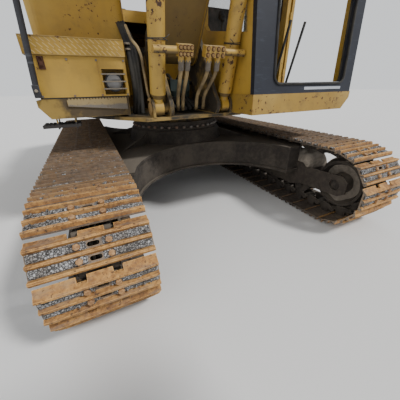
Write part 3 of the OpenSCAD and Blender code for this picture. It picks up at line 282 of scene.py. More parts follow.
def oldPaint(name, look, chips, dirt, fade):
    # faded paint with rust chips, worn edges, dust on top, grime patches, and painted shade on faces that
    # look down
    s = Shader(name)
    broad = s.noise(1.3, 3)
    fine = s.noise(9, 5, 0.6)
    tint = s.mix(s.ramp(broad, 0.35, 0.72) * fade, look["body"], look["pale"])
    tint = s.mix(s.ramp(fine, 0.42, 0.75) * 0.45, tint, look["dull"])
    tint = s.patches(0.55 * dirt, tint, look["dull"], 0.52, 0.80, 2.6, 4, 0.6, (5.5, 5.5, 0.55))
    spots = s.noise(26, 5, 0.68)
    where = s.noise(2.2, 3, 0.6)
    chipMask, rimMask = (s.ramp(spots + where * 0.45, low - 0.08 * chips, low + 0.03 - 0.08 * chips)
                         for low in (0.94, 0.915))
    wear = s.edges(0.006) * s.ramp(s.noise(18, 4, 0.65), 0.40, 0.60)
    tint = s.mix(rimMask * 0.85, tint, look["rustRim"])
    tint = s.mix(wear * 0.8, tint, look["rustRim"])
    tint = s.mix(chipMask, tint, look["rust"])
    top = s.ramp(s.up(), 0.55, 0.95) * s.ramp(s.noise(3.5, 4), 0.30, 0.62)
    tint = s.mix(top * (0.6 * dirt + 0.1), tint, look["dust"])
    # painted shade: faces that look down are darkened towards the grime colour
    tint = s.mix(s.ramp(0 - s.up(), 0.10, 0.70) * 0.75, tint, look["grime"])
    tint = s.patches(0.6 * dirt, tint, look["grime"], 0.60, 0.78, 4.5, 5, 0.7)
    rough = 0.46 + fine * 0.16 + chipMask * 0.3 + top * 0.25
    lift = s.bump((1 - chipMask) + fine * 0.12, 0.35, 0.004)
    return s.finish(tint, rough, 0.0, lift)


def dirtyPaint(name, p):
    # oily dirt over old paint, which shows at worn edges, and bare iron low down; where a step's face is
    # given, that is scraped, and the dirt thins out towards its outer end
    s = Shader(name)
    fine = s.noise(14, 5, 0.65)
    cover = s.noise(2.8, 4, 0.6) + fine * 0.35
    grime = p["grime"]
    if "stepFront" in p:
        cover = cover - s.ramp(p["cleanFrom"] - s.axis("X"), 0.0, 0.09) * 0.16
        grime = s.mix(s.noise(5, 4), grime, p["brown"])
    cover = s.ramp(cover, *p["cover"])
    low, more = p["dirt"]
    tint = s.mix(low + more * cover, p["paint"], grime)
    tint = s.mix(s.edges(0.010) * s.ramp(fine, 0.38, 0.56) * 0.85, tint, p["paint"])
    up = s.axis("Z")
    if "stepFront" in p:
        scraped = s.mix(s.ramp(p["stepMid"] - up + fine * 0.05 - 0.02, -0.006, 0.012), p["tan"], p["ash"])
        scraped = s.patches(0.65, scraped, p["brown"], 0.56, 0.66, 34, 5, 0.7)
        tint = s.mix(s.ramp(slewY - p["stepFront"] - s.axis("Y"), -0.001, 0.001), tint, scraped)
    else:
        tint = s.patches(0.7, tint, p["rust"], 0.62, 0.68, 30, 5, 0.7)
    tint = s.dusted(0.35, tint, p["dust"])
    tint = s.mix(s.ramp(p["bareBelow"] - up, -0.004, 0.004), tint, p["iron"])
    return s.finish(tint, 0.62 + fine * 0.25, 0.0, s.bump(fine + cover * 0.5, 0.4, 0.006))


def darkPaint(name, body, worn, share=0.5):
    # dark paint, streaked and rubbed pale along its edges by the given share
    s = Shader(name)
    fine = s.noise(14, 5, 0.65)
    tint = s.patches(0.6, body, tuple(c * 1.7 + 0.004 for c in body), 0.4, 0.7, 2.1, 3)
    tint = s.patches(0.35, tint, worn, 0.55, 0.75, 8, 4, 0.6, (1, 1, 6))
    tint = s.mix(s.edges(0.005) * s.ramp(fine, 0.35, 0.6) * share, tint, worn)
    tint = s.dusted(0.35, tint, (0.20, 0.18, 0.15))
    return s.finish(tint, 0.42 + fine * 0.25, 0.0, s.bump(fine, 0.15, 0.003))


def muddyIron(name, body, dust, mud):
    # iron or soil with patches of mud, and dust on what looks up
    s = Shader(name)
    fine = s.noise(22, 6, 0.7)
    broad = s.noise(2.4, 4, 0.6)
    tint = s.mix(s.ramp(fine, 0.35, 0.7), body, tuple(c * 1.8 for c in body))
    tint = s.mix(s.ramp(broad + fine * 0.25, 0.55, 0.78) * 0.7, tint, mud)
    tint = s.dusted(0.85, tint, dust, 0.30)
    tint = s.mix(s.edges(0.008) * 0.35, tint, dust)
    return s.finish(tint, 0.82 + fine * 0.12, 0.0, s.bump(fine + broad * 0.6, 0.55, 0.012))


def shoeSteel(name, dark, middle, light, worn, grime, mud):
    # rust in three shades, worn edges, streaks of dust and dark pits; muddier and darker away from the front
    # wheel, partly real mud and partly painted shade of the house over the top run
    s = Shader(name)
    fine = s.noise(38, 6, 0.7)
    broad = s.noise(5, 4, 0.6)
    tint = s.shades(s.ramp(fine * 0.6 + broad * 0.5, 0.38, 0.72), dark, middle, light)
    tint = s.patches(grime, tint, (0.21, 0.175, 0.145), 0.48, 0.66, 12, 5, 0.7, (0.6, 2.5, 2.5))
    tint = s.mix(s.edges(0.007, 0.01, 0.12) * s.ramp(fine, 0.30, 0.52), tint, worn)
    tint = s.patches(0.85, tint, (0.07, 0.045, 0.03), 0.60, 0.68, 60, 3, 0.6)
    # from here back the shoes turn a dark soil colour: partly real mud, partly painted shade of the house
    # over the top run
    shadeAndMudBehind = s.ramp(s.axis("Y") - slewY + shadedMuddyBehind + broad * 0.3, 0.0, 0.42)
    soil = s.mix(s.ramp(s.noise(17, 5, 0.7), 0.40, 0.62), (0.058, 0.047, 0.038), (0.120, 0.100, 0.081))
    tint = s.mix(shadeAndMudBehind * (mud + 0.25 * s.ramp(fine, 0.4, 0.6)), tint, soil)
    return s.finish(tint, 0.66 + fine * 0.2, 0.15, s.bump(fine, 0.35, 0.004))


def gravelLook(name):
    # grey chips of two sizes with narrow shadows between them and patches of brown dust
    s = Shader(name)
    coarse = s.node("ShaderNodeSeparateColor", {}, {0: s.cells(74, "Color")}, 0)
    small = s.node("ShaderNodeSeparateColor", {}, {0: s.cells(150, "Color")}, 1)
    greys = ((shade, shade - 0.005, shade - 0.010) for shade in (0.16, 0.27, 0.36, 0.50, 0.66))
    tone = s.shades(coarse * 0.65 + small * 0.35, *greys)
    tone = s.patches(0.7, tone, (0.215, 0.185, 0.155), 0.46, 0.62, 9, 5, 0.65)
    gap = s.ramp(s.cells(74, "Distance", "DISTANCE_TO_EDGE"), 0.01, 0.13)
    pores = s.ramp(s.noise(95, 3, 0.6), 0.36, 0.46)
    tint = s.mix(gap * pores, (0.060, 0.056, 0.052), tone)
    return s.finish(tint, 0.9, 0.0, s.bump(gap + small * 0.4, 0.9, 0.006))


def bareSteel(name, body, rust, metal, rough):
    s = Shader(name)
    fine = s.noise(20, 5, 0.65)
    stain = s.ramp(s.noise(5, 5, 0.65), 0.48, 0.70)
    tint = s.mix(stain * 0.75, body, rust)
    return s.finish(tint, rough + fine * 0.2 + stain * 0.25, metal * (1 - stain * 0.7),
                    s.bump(fine, 0.12, 0.002))


def chromeRod(name):
    s = Shader(name)
    fine = s.noise(30, 4, 0.6, (1, 1, 0.2))
    tint = s.mix(s.ramp(fine, 0.5, 0.8) * 0.5, (0.78, 0.78, 0.79), (0.42, 0.40, 0.37))
    return s.finish(tint, 0.10 + fine * 0.14, 1.0)


def rubberHose(name, body, dust):
    s = Shader(name)
    fine = s.noise(40, 4, 0.6)
    tint = s.patches(0.7, body, dust, 0.42, 0.65, 7, 4)
    return s.finish(tint, 0.62 + fine * 0.25, 0.0, s.bump(fine, 0.25, 0.002))


def dustyGlass(name, tint, cover):
    s = Shader(name)
    film = s.ramp(s.noise(3.2, 5, 0.6), 0.35, 0.75)
    return s.finish(s.mix(film * 0.5, tint, (0.55, 0.52, 0.46)), 0.08 + film * 0.35,
                    alpha=cover + film * 0.18)


def bucketIron(name):
    s = Shader(name)
    fine = s.noise(24, 6, 0.7)
    scrape = s.ramp(s.noise(16, 5, 0.6, (0.35, 3, 3)), 0.45, 0.7)
    tint = s.shades(s.ramp(fine * 0.7 + s.noise(3, 3) * 0.4, 0.35, 0.8),
                    (0.10, 0.055, 0.035), (0.22, 0.135, 0.08), (0.33, 0.24, 0.16))
    tint = s.mix(scrape * 0.5, tint, (0.30, 0.27, 0.24))
    tint = s.mix(s.edges(0.008) * 0.7, tint, (0.45, 0.40, 0.35))
    return s.finish(tint, 0.55 + fine * 0.3, 0.45, s.bump(fine + scrape * 0.4, 0.4, 0.006))


def seatVinyl(name):
    s = Shader(name)
    fine = s.noise(120, 4, 0.6)
    tint = s.patches(0.6, (0.028, 0.026, 0.025), (0.14, 0.12, 0.10), 0.4, 0.7, 6, 4)
    return s.finish(tint, 0.5 + fine * 0.25, 0.0, s.bump(fine, 0.3, 0.002))


shadedMuddyBehind = 1.86       # ahead: from here back the tracks get muddier and darker, partly real mud and partly painted shade
platformLook = {
    "paint": (0.40, 0.26, 0.055),
    "grime": (0.035, 0.028, 0.020),
    "brown": (0.105, 0.068, 0.030),
    "tan": (0.33, 0.245, 0.115),
    "ash": (0.185, 0.160, 0.130),
    "dust": (0.13, 0.11, 0.08),
    "iron": (0.030, 0.026, 0.024),
    "cover": (0.46, 0.66),
    "dirt": (0.25, 0.72),
    "cleanFrom": -1.285,  # across: dirt thins out from here to the outer end
    "stepFront": 0.964,   # ahead: the step's face
    "stepMid": 1.245,     # up: the step's scraped band starts below this
    "bareBelow": 1.112,   # up: the boarding step
}
deckLook = {
    "paint": (0.34, 0.22, 0.06),
    "grime": (0.028, 0.024, 0.019),
    "rust": (0.09, 0.035, 0.015),
    "dust": platformLook["dust"],
    "iron": platformLook["iron"],
    "cover": (0.52, 0.72),
    "dirt": (0.12, 0.85),
    "bareBelow": 0.5,
}
duller = {**paintLook, "body": (0.42, 0.27, 0.06), "pale": (0.50, 0.36, 0.13),
          "dull": (0.26, 0.18, 0.065)}
worn = {**paintLook, "body": (0.62, 0.45, 0.17), "pale": (0.70, 0.56, 0.30)}
# the cab platform's paint: pitted, and darker than the other yellow, partly real dull paint and partly
# painted shade
pittedAndShaded = {**paintLook, "body": (0.36, 0.215, 0.034), "pale": (0.47, 0.33, 0.105),
          "dull": (0.22, 0.14, 0.040)}
finishes = {
    "yellow": oldPaint("yellowPaint", paintLook, 0.35, 0.45, 0.7),
    "chippedYellow": oldPaint("chippedYellow", paintLook, 1.25, 0.7, 0.5),
    "dullYellow": oldPaint("dullYellow", duller, 0.7, 0.9, 0.5),
    "pittedShadedYellow": oldPaint("pittedShadedYellow", pittedAndShaded, 1.0, 0.6, 0.9),
    "grimy": dirtyPaint("platformPaint", platformLook),
    "oily": dirtyPaint("oilyPaint", deckLook),
    "cabBlack": darkPaint("cabBlack", (0.009, 0.011, 0.019), (0.055, 0.068, 0.095)),
    "railDark": darkPaint("railDark", (0.017, 0.017, 0.021), (0.15, 0.155, 0.175), 0.9),
    "iron": muddyIron("muddyIron", (0.030, 0.024, 0.019), (0.155, 0.130, 0.100), (0.095, 0.078, 0.060)),
    "frameIron": muddyIron("frameIron", (0.040, 0.031, 0.024), (0.175, 0.150, 0.118), (0.085, 0.070, 0.052)),
    "shoe": shoeSteel("shoeSteel", (0.11, 0.085, 0.064), (0.20, 0.160, 0.125), (0.32, 0.25, 0.18),
                      (0.44, 0.30, 0.17), 0.7, 0.74),
    "rib": shoeSteel("ribSteel", (0.17, 0.080, 0.032), (0.40, 0.200, 0.062), (0.60, 0.34, 0.110),
                     (0.78, 0.46, 0.16), 0.45, 0.64),
    "gravel": gravelLook("packedGravel"),
    "chrome": chromeRod("rodChrome"),
    "pipe": bareSteel("rustyPipe", (0.17, 0.12, 0.085), (0.20, 0.085, 0.035), 0.4, 0.5),
    "lampGrey": bareSteel("lampGrey", (0.29, 0.25, 0.195), (0.18, 0.135, 0.09), 0.3, 0.5),
    "bolt": bareSteel("boltSteel", (0.22, 0.20, 0.18), (0.26, 0.12, 0.05), 0.6, 0.45),
    "sill": bareSteel("sillStrip", (0.66, 0.68, 0.72), (0.33, 0.31, 0.30), 0.85, 0.28),
    "motor": darkPaint("motorGreen", (0.038, 0.058, 0.053), (0.075, 0.125, 0.105)),
    "engine": muddyIron("engineIron", (0.035, 0.035, 0.033), (0.12, 0.11, 0.09), (0.05, 0.045, 0.04)),
    "rubber": rubberHose("blackRubber", (0.010, 0.010, 0.010), (0.045, 0.040, 0.032)),
    "tanHose": rubberHose("dustyHose", (0.14, 0.10, 0.05), (0.40, 0.29, 0.135)),
    "glass": dustyGlass("cabGlass", (0.40, 0.50, 0.52), 0.22),
    "bucket": bucketIron("bucketIron"),
    "seat": seatVinyl("seatVinyl"),
    "plastic": rubberHose("blackPlastic", (0.020, 0.020, 0.021), (0.09, 0.085, 0.075)),
    "trim": rubberHose("cabTrim", (0.050, 0.050, 0.052), (0.13, 0.12, 0.105)),
    "dustIron": muddyIron("dustyIron", (0.10, 0.085, 0.068), (0.24, 0.205, 0.165), (0.17, 0.145, 0.115)),
    "rustBolt": bareSteel("rustyBolt", (0.30, 0.19, 0.070), (0.15, 0.065, 0.028), 0.2, 0.55),
    "rustStain": bareSteel("rustStain", (0.085, 0.034, 0.018), (0.050, 0.026, 0.016), 0.0, 0.8),
    "soil": muddyIron("driedSoil", (0.200, 0.170, 0.135), (0.330, 0.290, 0.240), (0.270, 0.230, 0.185)),
    "shoeBolt": shoeSteel("rustyShoeBolt", (0.20, 0.10, 0.045), (0.36, 0.185, 0.075), (0.50, 0.30, 0.14),
                          (0.60, 0.38, 0.18), 0.4, 0.70),
    "wornYellow": oldPaint("wornYellow", worn, 0.9, 0.35, 0.6),
    "lampLens": dustyGlass("lampLens", (0.27, 0.265, 0.26), 0.80),
}
nodeFinish = {
    "iron": ["carbody", "slew_ring", "idlers", "sprockets", "rollers"],
    "frameIron": ["track_frame_l", "track_frame_r", "final_drives"],
    "shoe": ["track_l", "track_r"],
    "pittedShadedYellow": ["cab_platform"],
    "yellow": ["engine_housing", "fuel_tank", "hydraulic_tank", "toolbox", "toolbox_lid",
               "cab_inner_side", "cab_outer_side", "cab_roof", "cab_door", "hood",
               "service_door_l", "service_door_r", "counterweight", "boom", "stick"],
    "chippedYellow": ["boom_cylinders", "stick_cylinder", "bucket_cylinder"],
    "dullYellow": ["rocker", "bucket_link", "cab_rear"],
    "grimy": ["side_platform"],
    "oily": ["deck"],
    "cabBlack": ["cab_front", "air_cleaner"],
    "railDark": ["grab_rail"],
    "chrome": ["boom_rods", "stick_rod", "bucket_rod"],
    "pipe": ["exhaust"],
    "lampGrey": ["work_lamp"],
    "motor": ["swing_motor"],
    "engine": ["engine_block", "control_valve"],
    "glass": ["cab_glass", "door_glass"],
    "bucket": ["bucket"],
    "seat": ["seat"],
    "plastic": ["controls"],
}
for look, members in nodeFinish.items():
    for member in members:
        mesh = frame["nodes"][member].data
        mesh.materials.clear()
        mesh.materials.append(finishes[look])
print("stage: finishes on", sum(len(m) for m in nodeFinish.values()), "nodes")


# shapes: each is a list of points and a list of faces

def joined(shapes):
    # one shape made of several
    points, faces = [], []
    for some, sides in shapes:
        base = len(points)
        points += some
        faces += [tuple(base + k for k in side) for side in sides]
    return points, faces


def moved(shape, matrix):
    return [matrix @ p for p in shape[0]], shape[1]


def extrude(outline, step):
    # a closed outline in space, drawn out by the step
    count = len(outline)
    points = [Vector(p) for p in outline] + [Vector(p) + Vector(step) for p in outline]
    faces = [tuple(reversed(range(count))), tuple(range(count, 2 * count))]
    faces += [(i, (i + 1) % count, (i + 1) % count + count, i + count) for i in range(count)]
    return points, faces


def sideways(outline, x0, x1):
    # a side-view outline of (ahead, up), drawn out across the machine
    return extrude([at(x0, a, u) for a, u in outline], (x1 - x0, 0, 0))


def block(x0, x1, ahead0, ahead1, up0, up1):
    return sideways([(ahead0, up0), (ahead1, up0), (ahead1, up1), (ahead0, up1)], x0, x1)


def arc(center, radius, start, end, steps):
    turns = [math.radians(start + (end - start) * k / steps) for k in range(steps + 1)]
    return [(center[0] + radius * math.cos(t), center[1] + radius * math.sin(t)) for t in turns]


def skin(bands, turns):
    # side faces between closed rings of points
    faces = []
    for start in range(0, bands * turns, turns):
        for k in range(turns):
            a, b = start + k, start + (k + 1) % turns
            faces.append((a, b, b + turns, a + turns))
    return faces


def capped(bands, turns):
    # the same with both ends closed
    last = bands * turns
    return skin(bands, turns) + [tuple(reversed(range(turns))), tuple(range(last, last + turns))]


def ringPoints(center, side, other, radius, turns):
    return [center + (side * math.cos(t) + other * math.sin(t)) * radius
            for t in (2 * math.pi * k / turns for k in range(turns))]


def lathe(profile, base, aim, turns=20):
    # profile holds (radius, distance along aim)
    aim = Vector(aim).normalized()
    side = aim.orthogonal().normalized()
    other = aim.cross(side)
    points = []
    for radius, along in profile:
        points += ringPoints(Vector(base) + aim * along, side, other, radius, turns)
    return points, capped(len(profile) - 1, turns)


def bend(points, reach, steps=4):
    # rounds the corners of a path
    points = [Vector(p) for p in points]
    path = [points[0]]
    for before, corner, after in zip(points, points[1:], points[2:]):
        start = corner + (before - corner).normalized() * min(reach, (before - corner).length * 0.45)
        end = corner + (after - corner).normalized() * min(reach, (after - corner).length * 0.45)
        for k in range(steps + 1):
            t = k / steps
            path.append((1 - t) ** 2 * start + 2 * t * (1 - t) * corner + t * t * end)
    return path + [points[-1]]


def tube(path, radius, sides=10):
    path = [Vector(p) for p in path]
    last = len(path) - 1
    side = (path[1] - path[0]).orthogonal().normalized()
    points = []
    for i, p in enumerate(path):
        aim = (path[min(i + 1, last)] - path[max(i - 1, 0)]).normalized()
        side = (side - aim * side.dot(aim)).normalized()
        points += ringPoints(p, side, aim.cross(side), radius, sides)
    return points, capped(last, sides)


def hose(route, reach, radius, sides=10):
    # a bent tube through places given as (across, ahead, up)
    return tube(bend([at(*place) for place in route], reach), radius, sides)


def hexBolt(base, aim, across, height):
    turn = across / 2 / math.cos(math.pi / 6)
    return lathe([(turn, -0.002), (turn, height * 0.75), (turn * 0.82, height)], base, aim, 6)


def boltRow(places, aim, across, height):
    return [hexBolt(place, aim, across, height) for place in places]


def sideBolts(x, side, places, across, height):
    # bolts that point out to a side; places are (ahead, up)
    return boltRow([at(x, a, z) for a, z in places], (side, 0, 0), across, height)


def spread(count, radius, center=(0, 0), start=0.0):
    # places all round a circle
    return arc(center, radius, start, start + 360, count)[:count]


def started(name, shape):
    # a mesh of the shape and its open copy, with its faces turned outwards
    mesh = bpy.data.meshes.new(name)
    mesh.from_pydata(shape[0], [], shape[1])
    work = bmesh.new()
    work.from_mesh(mesh)
    bmesh.ops.recalc_face_normals(work, faces=work.faces)
    return mesh, work


def build(name, shapes, look, body, rounded=0.0, segments=2, sharp=38, stands=()):
    # a piece on its body; edges over the sharp angle are rounded where asked, and the rest is smooth
    mesh, work = started(name, joined(shapes))
    limit = math.radians(sharp)
    if rounded:
        hard = [e for e in work.edges if len(e.link_faces) == 2 and e.calc_face_angle(0) > limit]
        bmesh.ops.bevel(work, geom=hard, offset=rounded, segments=segments, profile=0.6,
                        affect="EDGES", clamp_overlap=True)
    for face in work.faces:
        face.smooth = True
    for edge in work.edges:
        edge.smooth = len(edge.link_faces) == 2 and edge.calc_face_angle(0) < limit
    work.to_mesh(mesh)
    work.free()
    mesh.materials.append(finishes[look])
    piece = placed(name, mesh)
    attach(piece, body)
    if stands:
        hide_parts(*stands)
    return piece


def plain(name, shape):
    # an object of the shape as it is
    mesh, work = started(name, shape)
    work.to_mesh(mesh)
    work.free()
    return placed(name, mesh)


def cutOut(shape, holes):
    # the shape with the holes taken out of it
    blank, tool = plain("blank", shape), plain("tool", joined(holes))
    cut = blank.modifiers.new("cut", "BOOLEAN")
    cut.operation = "DIFFERENCE"
    cut.solver = "EXACT"
    cut.use_self = True
    cut.object = tool
    result = blank.evaluated_get(bpy.context.evaluated_depsgraph_get()).to_mesh()
    points = [v.co.copy() for v in result.vertices]
    faces = [tuple(p.vertices) for p in result.polygons]
    blank.to_mesh_clear()
    for made in (blank, tool):
        mesh = made.data
        bpy.data.objects.remove(made)
        bpy.data.meshes.remove(mesh)
    return points, faces


# tracks

trackShape = {
    "gauge": 2.5,
    "pitch": 0.190,
    "run": 20,           # links on each straight run
    "wrap": 5,           # links round each end wheel
    "tipRise": 0.106,    # rib tips over the pin line
    "plateRise": 0.078,
    "plate": 0.012,
    "shoeWidth": 0.600,
    "shoeKinds": 4,
    "slices": 14,
    "outline": [(0.112, 0.044), (0.086, 0.066), (-0.092, 0.066), (-0.091, 0.080), (-0.082, 0.1045),
                (-0.069, 0.1055), (-0.060, 0.078), (-0.016, 0.078), (-0.006, 0.1055), (0.007, 0.1055),
                (0.016, 0.078), (0.059, 0.079), (0.070, 0.1055), (0.081, 0.104), (0.101, 0.066),
                (0.120, 0.053)],
    "tips": (4, 5, 8, 9, 12, 13),  # places in the outline
    "rubbedUp": 0.086,   # faces above this, or in front of rubbedAhead, have the ribs' bare look
    "rubbedAhead": 0.089,
    "holeHalf": 0.018,   # a mud hole's straight part, and its round ends
    "holeRound": 0.0125,
    "notch": (0.090, 0.140, 0.024, 0.027),  # from, to, half its width there
    "notchShift": 0.012,
    "boltRow": 0.037,
    "bolt": (0.033, 0.026),
    "railMid": 0.0775,   # a link rail's middle from the shoe's middle
    "railThick": 0.024,
    "railDrop": 0.045,
    "boss": 0.034,
    "pin": (0.021, 0.006),   # radius, and how far it stands out
    "bush": (0.030, 0.050),  # radius, and half its length
    "beds": {-1: (-0.057, -0.0155), 1: (0.017, 0.0595)},
    "bedCells": (58, 5),
    "bedHoleHalf": 0.055,
    "bedHoleOften": 0.75,
    "frontLinks": 6,     # links behind the front wheel that are packed as full as it
    "fill": {True: (0.55, 0.95), False: (0.35, 0.8)},  # there and elsewhere
    "stones": {True: 20, False: 9},
    "stoneReach": 0.29,
    "stoneRow": (0.038, 0.016),  # from the shoe's middle, and to each side of that
    "stoneRise": (0.011, 0.019),
    "stoneRadius": (0.0055, 0.0115),
    "stoneGap": 0.04,
}


def linkPlaces(t):
    # pin places (ahead, up) of the whole loop: along the ground, round the front, and the same turned over
    step = math.pi / t["wrap"]
    radius = t["pitch"] / 2 / math.sin(step / 2)
    wheelUp = radius + t["tipRise"]
    half = t["run"] * t["pitch"] / 2
    pins = [(i * t["pitch"] - half, wheelUp - radius) for i in range(t["run"])]
    pins += [(half + radius * math.sin(k * step), wheelUp - radius * math.cos(k * step))
             for k in range(t["wrap"])]
    return pins + [(-ahead, 2 * wheelUp - up) for ahead, up in pins]


def linkMatrices(t, across):
    # local x runs along the chain, local y across and local z outward
    pins = linkPlaces(t)
    made = []
    for first, second in zip(pins, pins[1:] + pins[:1]):
        turn = math.atan2(second[1] - first[1], second[0] - first[0])
        c, s = math.cos(turn), math.sin(turn)
        middle = at(across, (first[0] + second[0]) / 2, (first[1] + second[1]) / 2)
        made.append(Matrix(((0, -1, 0, middle.x), (-c, 0, -s, middle.y),
                            (s, 0, -c, middle.z), (0, 0, 0, 1))))
    return made


def shoeForm(t, seed):
    # three ribs, a lip that runs under the next shoe, two mud holes and two link notches
    slices, half, count = t["slices"], t["shoeWidth"] / 2, len(t["outline"])
    points = []
    for j in range(slices + 1):
        y = -half + 2 * half * j / slices
        for k, (x, z) in enumerate(t["outline"]):
            if k in t["tips"]:
                rough = noise.noise(Vector((y * 9, seed * 7.3 + k // 4 * 3.1, 1.7)))
                z -= 0.0028 * abs(rough) + (0.004 if j in (0, slices) else 0)
                x += 0.0018 * rough
            points.append(Vector((x, y, z)))
    faces = skin(slices, count)
    faces.append(tuple(range(count)))
    faces.append(tuple(slices * count + k for k in reversed(range(count))))
    holes = []
    for x in (-t["boltRow"], t["boltRow"]):
        oval = []
        for v in (2 * math.pi * k / 14 + 0.01 for k in range(14)):
            middle = math.copysign(t["holeHalf"], math.cos(v))
            oval.append((x + t["holeRound"] * math.sin(v), middle + t["holeRound"] * math.cos(v), 0.05))
        holes.append(extrude(oval, (0, 0, 0.07)))
    inner, outer, narrow, wide = t["notch"]
    for side in (-1, 1):
        y = side * (t["railMid"] + t["notchShift"])
        corners = [(outer, y - wide, 0.03), (inner, y - narrow, 0.03), (inner, y + narrow, 0.03),
                   (outer, y + wide, 0.03)]
        holes.append(extrude(corners, (0, 0, 0.06)))
    return cutOut((points, faces), holes)


def rubbed(t, shape):
    # 1 for each face of a shoe that belongs to a rib or to the front edge
    return [int(max(sum(shape[0][k].z for k in face) / len(face) - t["rubbedUp"],
                    sum(shape[0][k].x for k in face) / len(face) - t["rubbedAhead"]) > 0)
            for face in shape[1]]


def boltForms(t):
    return boltRow([(x, y, t["plateRise"]) for x in (-t["boltRow"], t["boltRow"])
                    for y in (-t["railMid"], t["railMid"])], (0, 0, 1), *t["bolt"])


def linkForm(t):
    # two bone-shaped rails with a pin boss at each end, the front boss inside the next link's rear one
    half, drop, top = t["pitch"] / 2, t["railDrop"], t["plateRise"] - t["plate"]
    shapes = []
    for side in (-1, 1):
        for end, shift in ((-1, -0.45), (1, 0.45)):
            outline = arc((end * half, 0), t["boss"], 90 + end * 75, 90 - end * 105, 8)
            outline += [(-end * 0.018, -drop), (-end * 0.018, top), (end * 0.045, top)]
            y = side * t["railMid"] + shift * t["railThick"] - t["railThick"] / 2
            shapes.append(extrude([Vector((x, y, z)) for x, z in outline], (0, t["railThick"], 0)))
    pin, past = t["pin"]
    bush, reach = t["bush"]
    for radius, end, turns in ((pin, t["railMid"] + t["railThick"] + past, 12), (bush, reach, 14)):
        shapes.append(lathe([(radius, -end), (radius, end)], (-half, 0, 0), (0, 1, 0), turns))
    return joined(shapes)


def gravelBed(t, index, row, fill, dice):
    # one packed row of stones between two ribs, as an uneven bed, mostly open in its middle
    low, high = t["beds"][row]
    columns, rows = t["bedCells"]
    half = t["shoeWidth"] / 2 - 0.006
    hole = dice.random() < t["bedHoleOften"]
    points, faces = [], []
    for j in range(columns + 1):
        y = -half + 2 * half * j / columns
        for k in range(rows + 1):
            x = low + (high - low) * k / rows
            place = Vector((x, y, index * 0.37 + row))
            near, _ = noise.voronoi(place * 62)
            stone = max(0.0, 1 - near[0] / max(near[1], 1e-4))
            depth = fill * (0.75 + 0.55 * noise.noise(place * 9)) + 0.25 * stone - 0.12
            if hole and abs(y) < t["bedHoleHalf"]:
                depth -= 1.6 * (1 - abs(y) / t["bedHoleHalf"])
            edge = 0.55 if k in (0, rows) else 1.0
            z = t["plateRise"] - 0.001 + 0.023 * max(0.0, min(1.12, depth)) * edge
            points.append(Vector((x + 0.002 * stone, y, z)))
    for j in range(columns):
        if hole and abs(2 * half * (j + 0.5) / columns - half) < 0.031:
            continue
        for k in range(rows):
            a = j * (rows + 1) + k
            faces.append((a, a + 1, a + rows + 2, a + rows + 1))
    return points, faces


def stone(place, radius, dice):
    # an uneven body of twenty triangles
    golden = (1 + 5 ** 0.5) / 2
    corners = [(-1, golden, 0), (1, golden, 0), (-1, -golden, 0), (1, -golden, 0),
               (0, -1, golden), (0, 1, golden), (0, -1, -golden), (0, 1, -golden),
               (golden, 0, -1), (golden, 0, 1), (-golden, 0, -1), (-golden, 0, 1)]
    faces = [(0, 11, 5), (0, 5, 1), (0, 1, 7), (0, 7, 10), (0, 10, 11), (1, 5, 9), (5, 11, 4),
             (11, 10, 2), (10, 7, 6), (7, 1, 8), (3, 9, 4), (3, 4, 2), (3, 2, 6), (3, 6, 8),
             (3, 8, 9), (4, 9, 5), (2, 4, 11), (6, 2, 10), (8, 6, 7), (9, 8, 1)]
    squeeze = Vector((dice.uniform(0.6, 1.1), dice.uniform(0.6, 1.1), dice.uniform(0.45, 0.9)))
    points = []
    for corner in corners:
        p = Vector(corner).normalized() * radius * dice.uniform(0.78, 1.12)
        points.append(Vector(place) + Vector((p.x * squeeze.x, p.y * squeeze.y, p.z * squeeze.z)))
    return points, faces


def makeTrack(t, side, body):
    letter = "l" if side > 0 else "r"
    dice = random.Random(11 if side > 0 else 5)
    places = linkMatrices(t, side * t["gauge"] / 2)
    kinds = [shoeForm(t, k) for k in range(t["shoeKinds"])]
    marks = [rubbed(t, kind) for kind in kinds]
    order = [i * 7 % len(kinds) for i in range(len(places))]
    shoes = [moved(kinds[k], place) for k, place in zip(order, places)]
    bolts, link = joined(boltForms(t)), linkForm(t)
    middle, aside = t["stoneRow"]
    beds, loose = [], []
    for i, place in enumerate(places[t["run"]:], t["run"]):
        front = i < t["run"] + t["wrap"] + t["frontLinks"]
        for row in (-1, 1):
            fill = dice.uniform(*t["fill"][front])
            beds.append(moved(gravelBed(t, i, row, fill, dice), place))
            for _ in range(t["stones"][front]):
                y = dice.uniform(-t["stoneReach"], t["stoneReach"])
                x = row * middle + dice.uniform(-aside, aside)
                z = t["plateRise"] + dice.uniform(*t["stoneRise"])
                if abs(y) > t["stoneGap"]:
                    loose.append(moved(stone((x, y, z), dice.uniform(*t["stoneRadius"]), dice), place))
    piece = build("trackShoes_" + letter, shoes, "shoe", body, stands=["track_" + letter])
    piece.data.materials.append(finishes["rib"])
    piece.data.polygons.foreach_set("material_index", [mark for k in order for mark in marks[k]])
    build("trackChain_" + letter, [moved(link, place) for place in places], "iron", body)
    build("trackBolts_" + letter, [moved(bolts, place) for place in places], "shoeBolt", body, 0.002)
    build("trackGravel_" + letter, beds, "gravel", body, sharp=180)
    build("trackStones_" + letter, loose, "gravel", body, sharp=1)


for side in (-1, 1):
    makeTrack(trackShape, side, "undercarriage")
print("stage: tracks")


# undercarriage

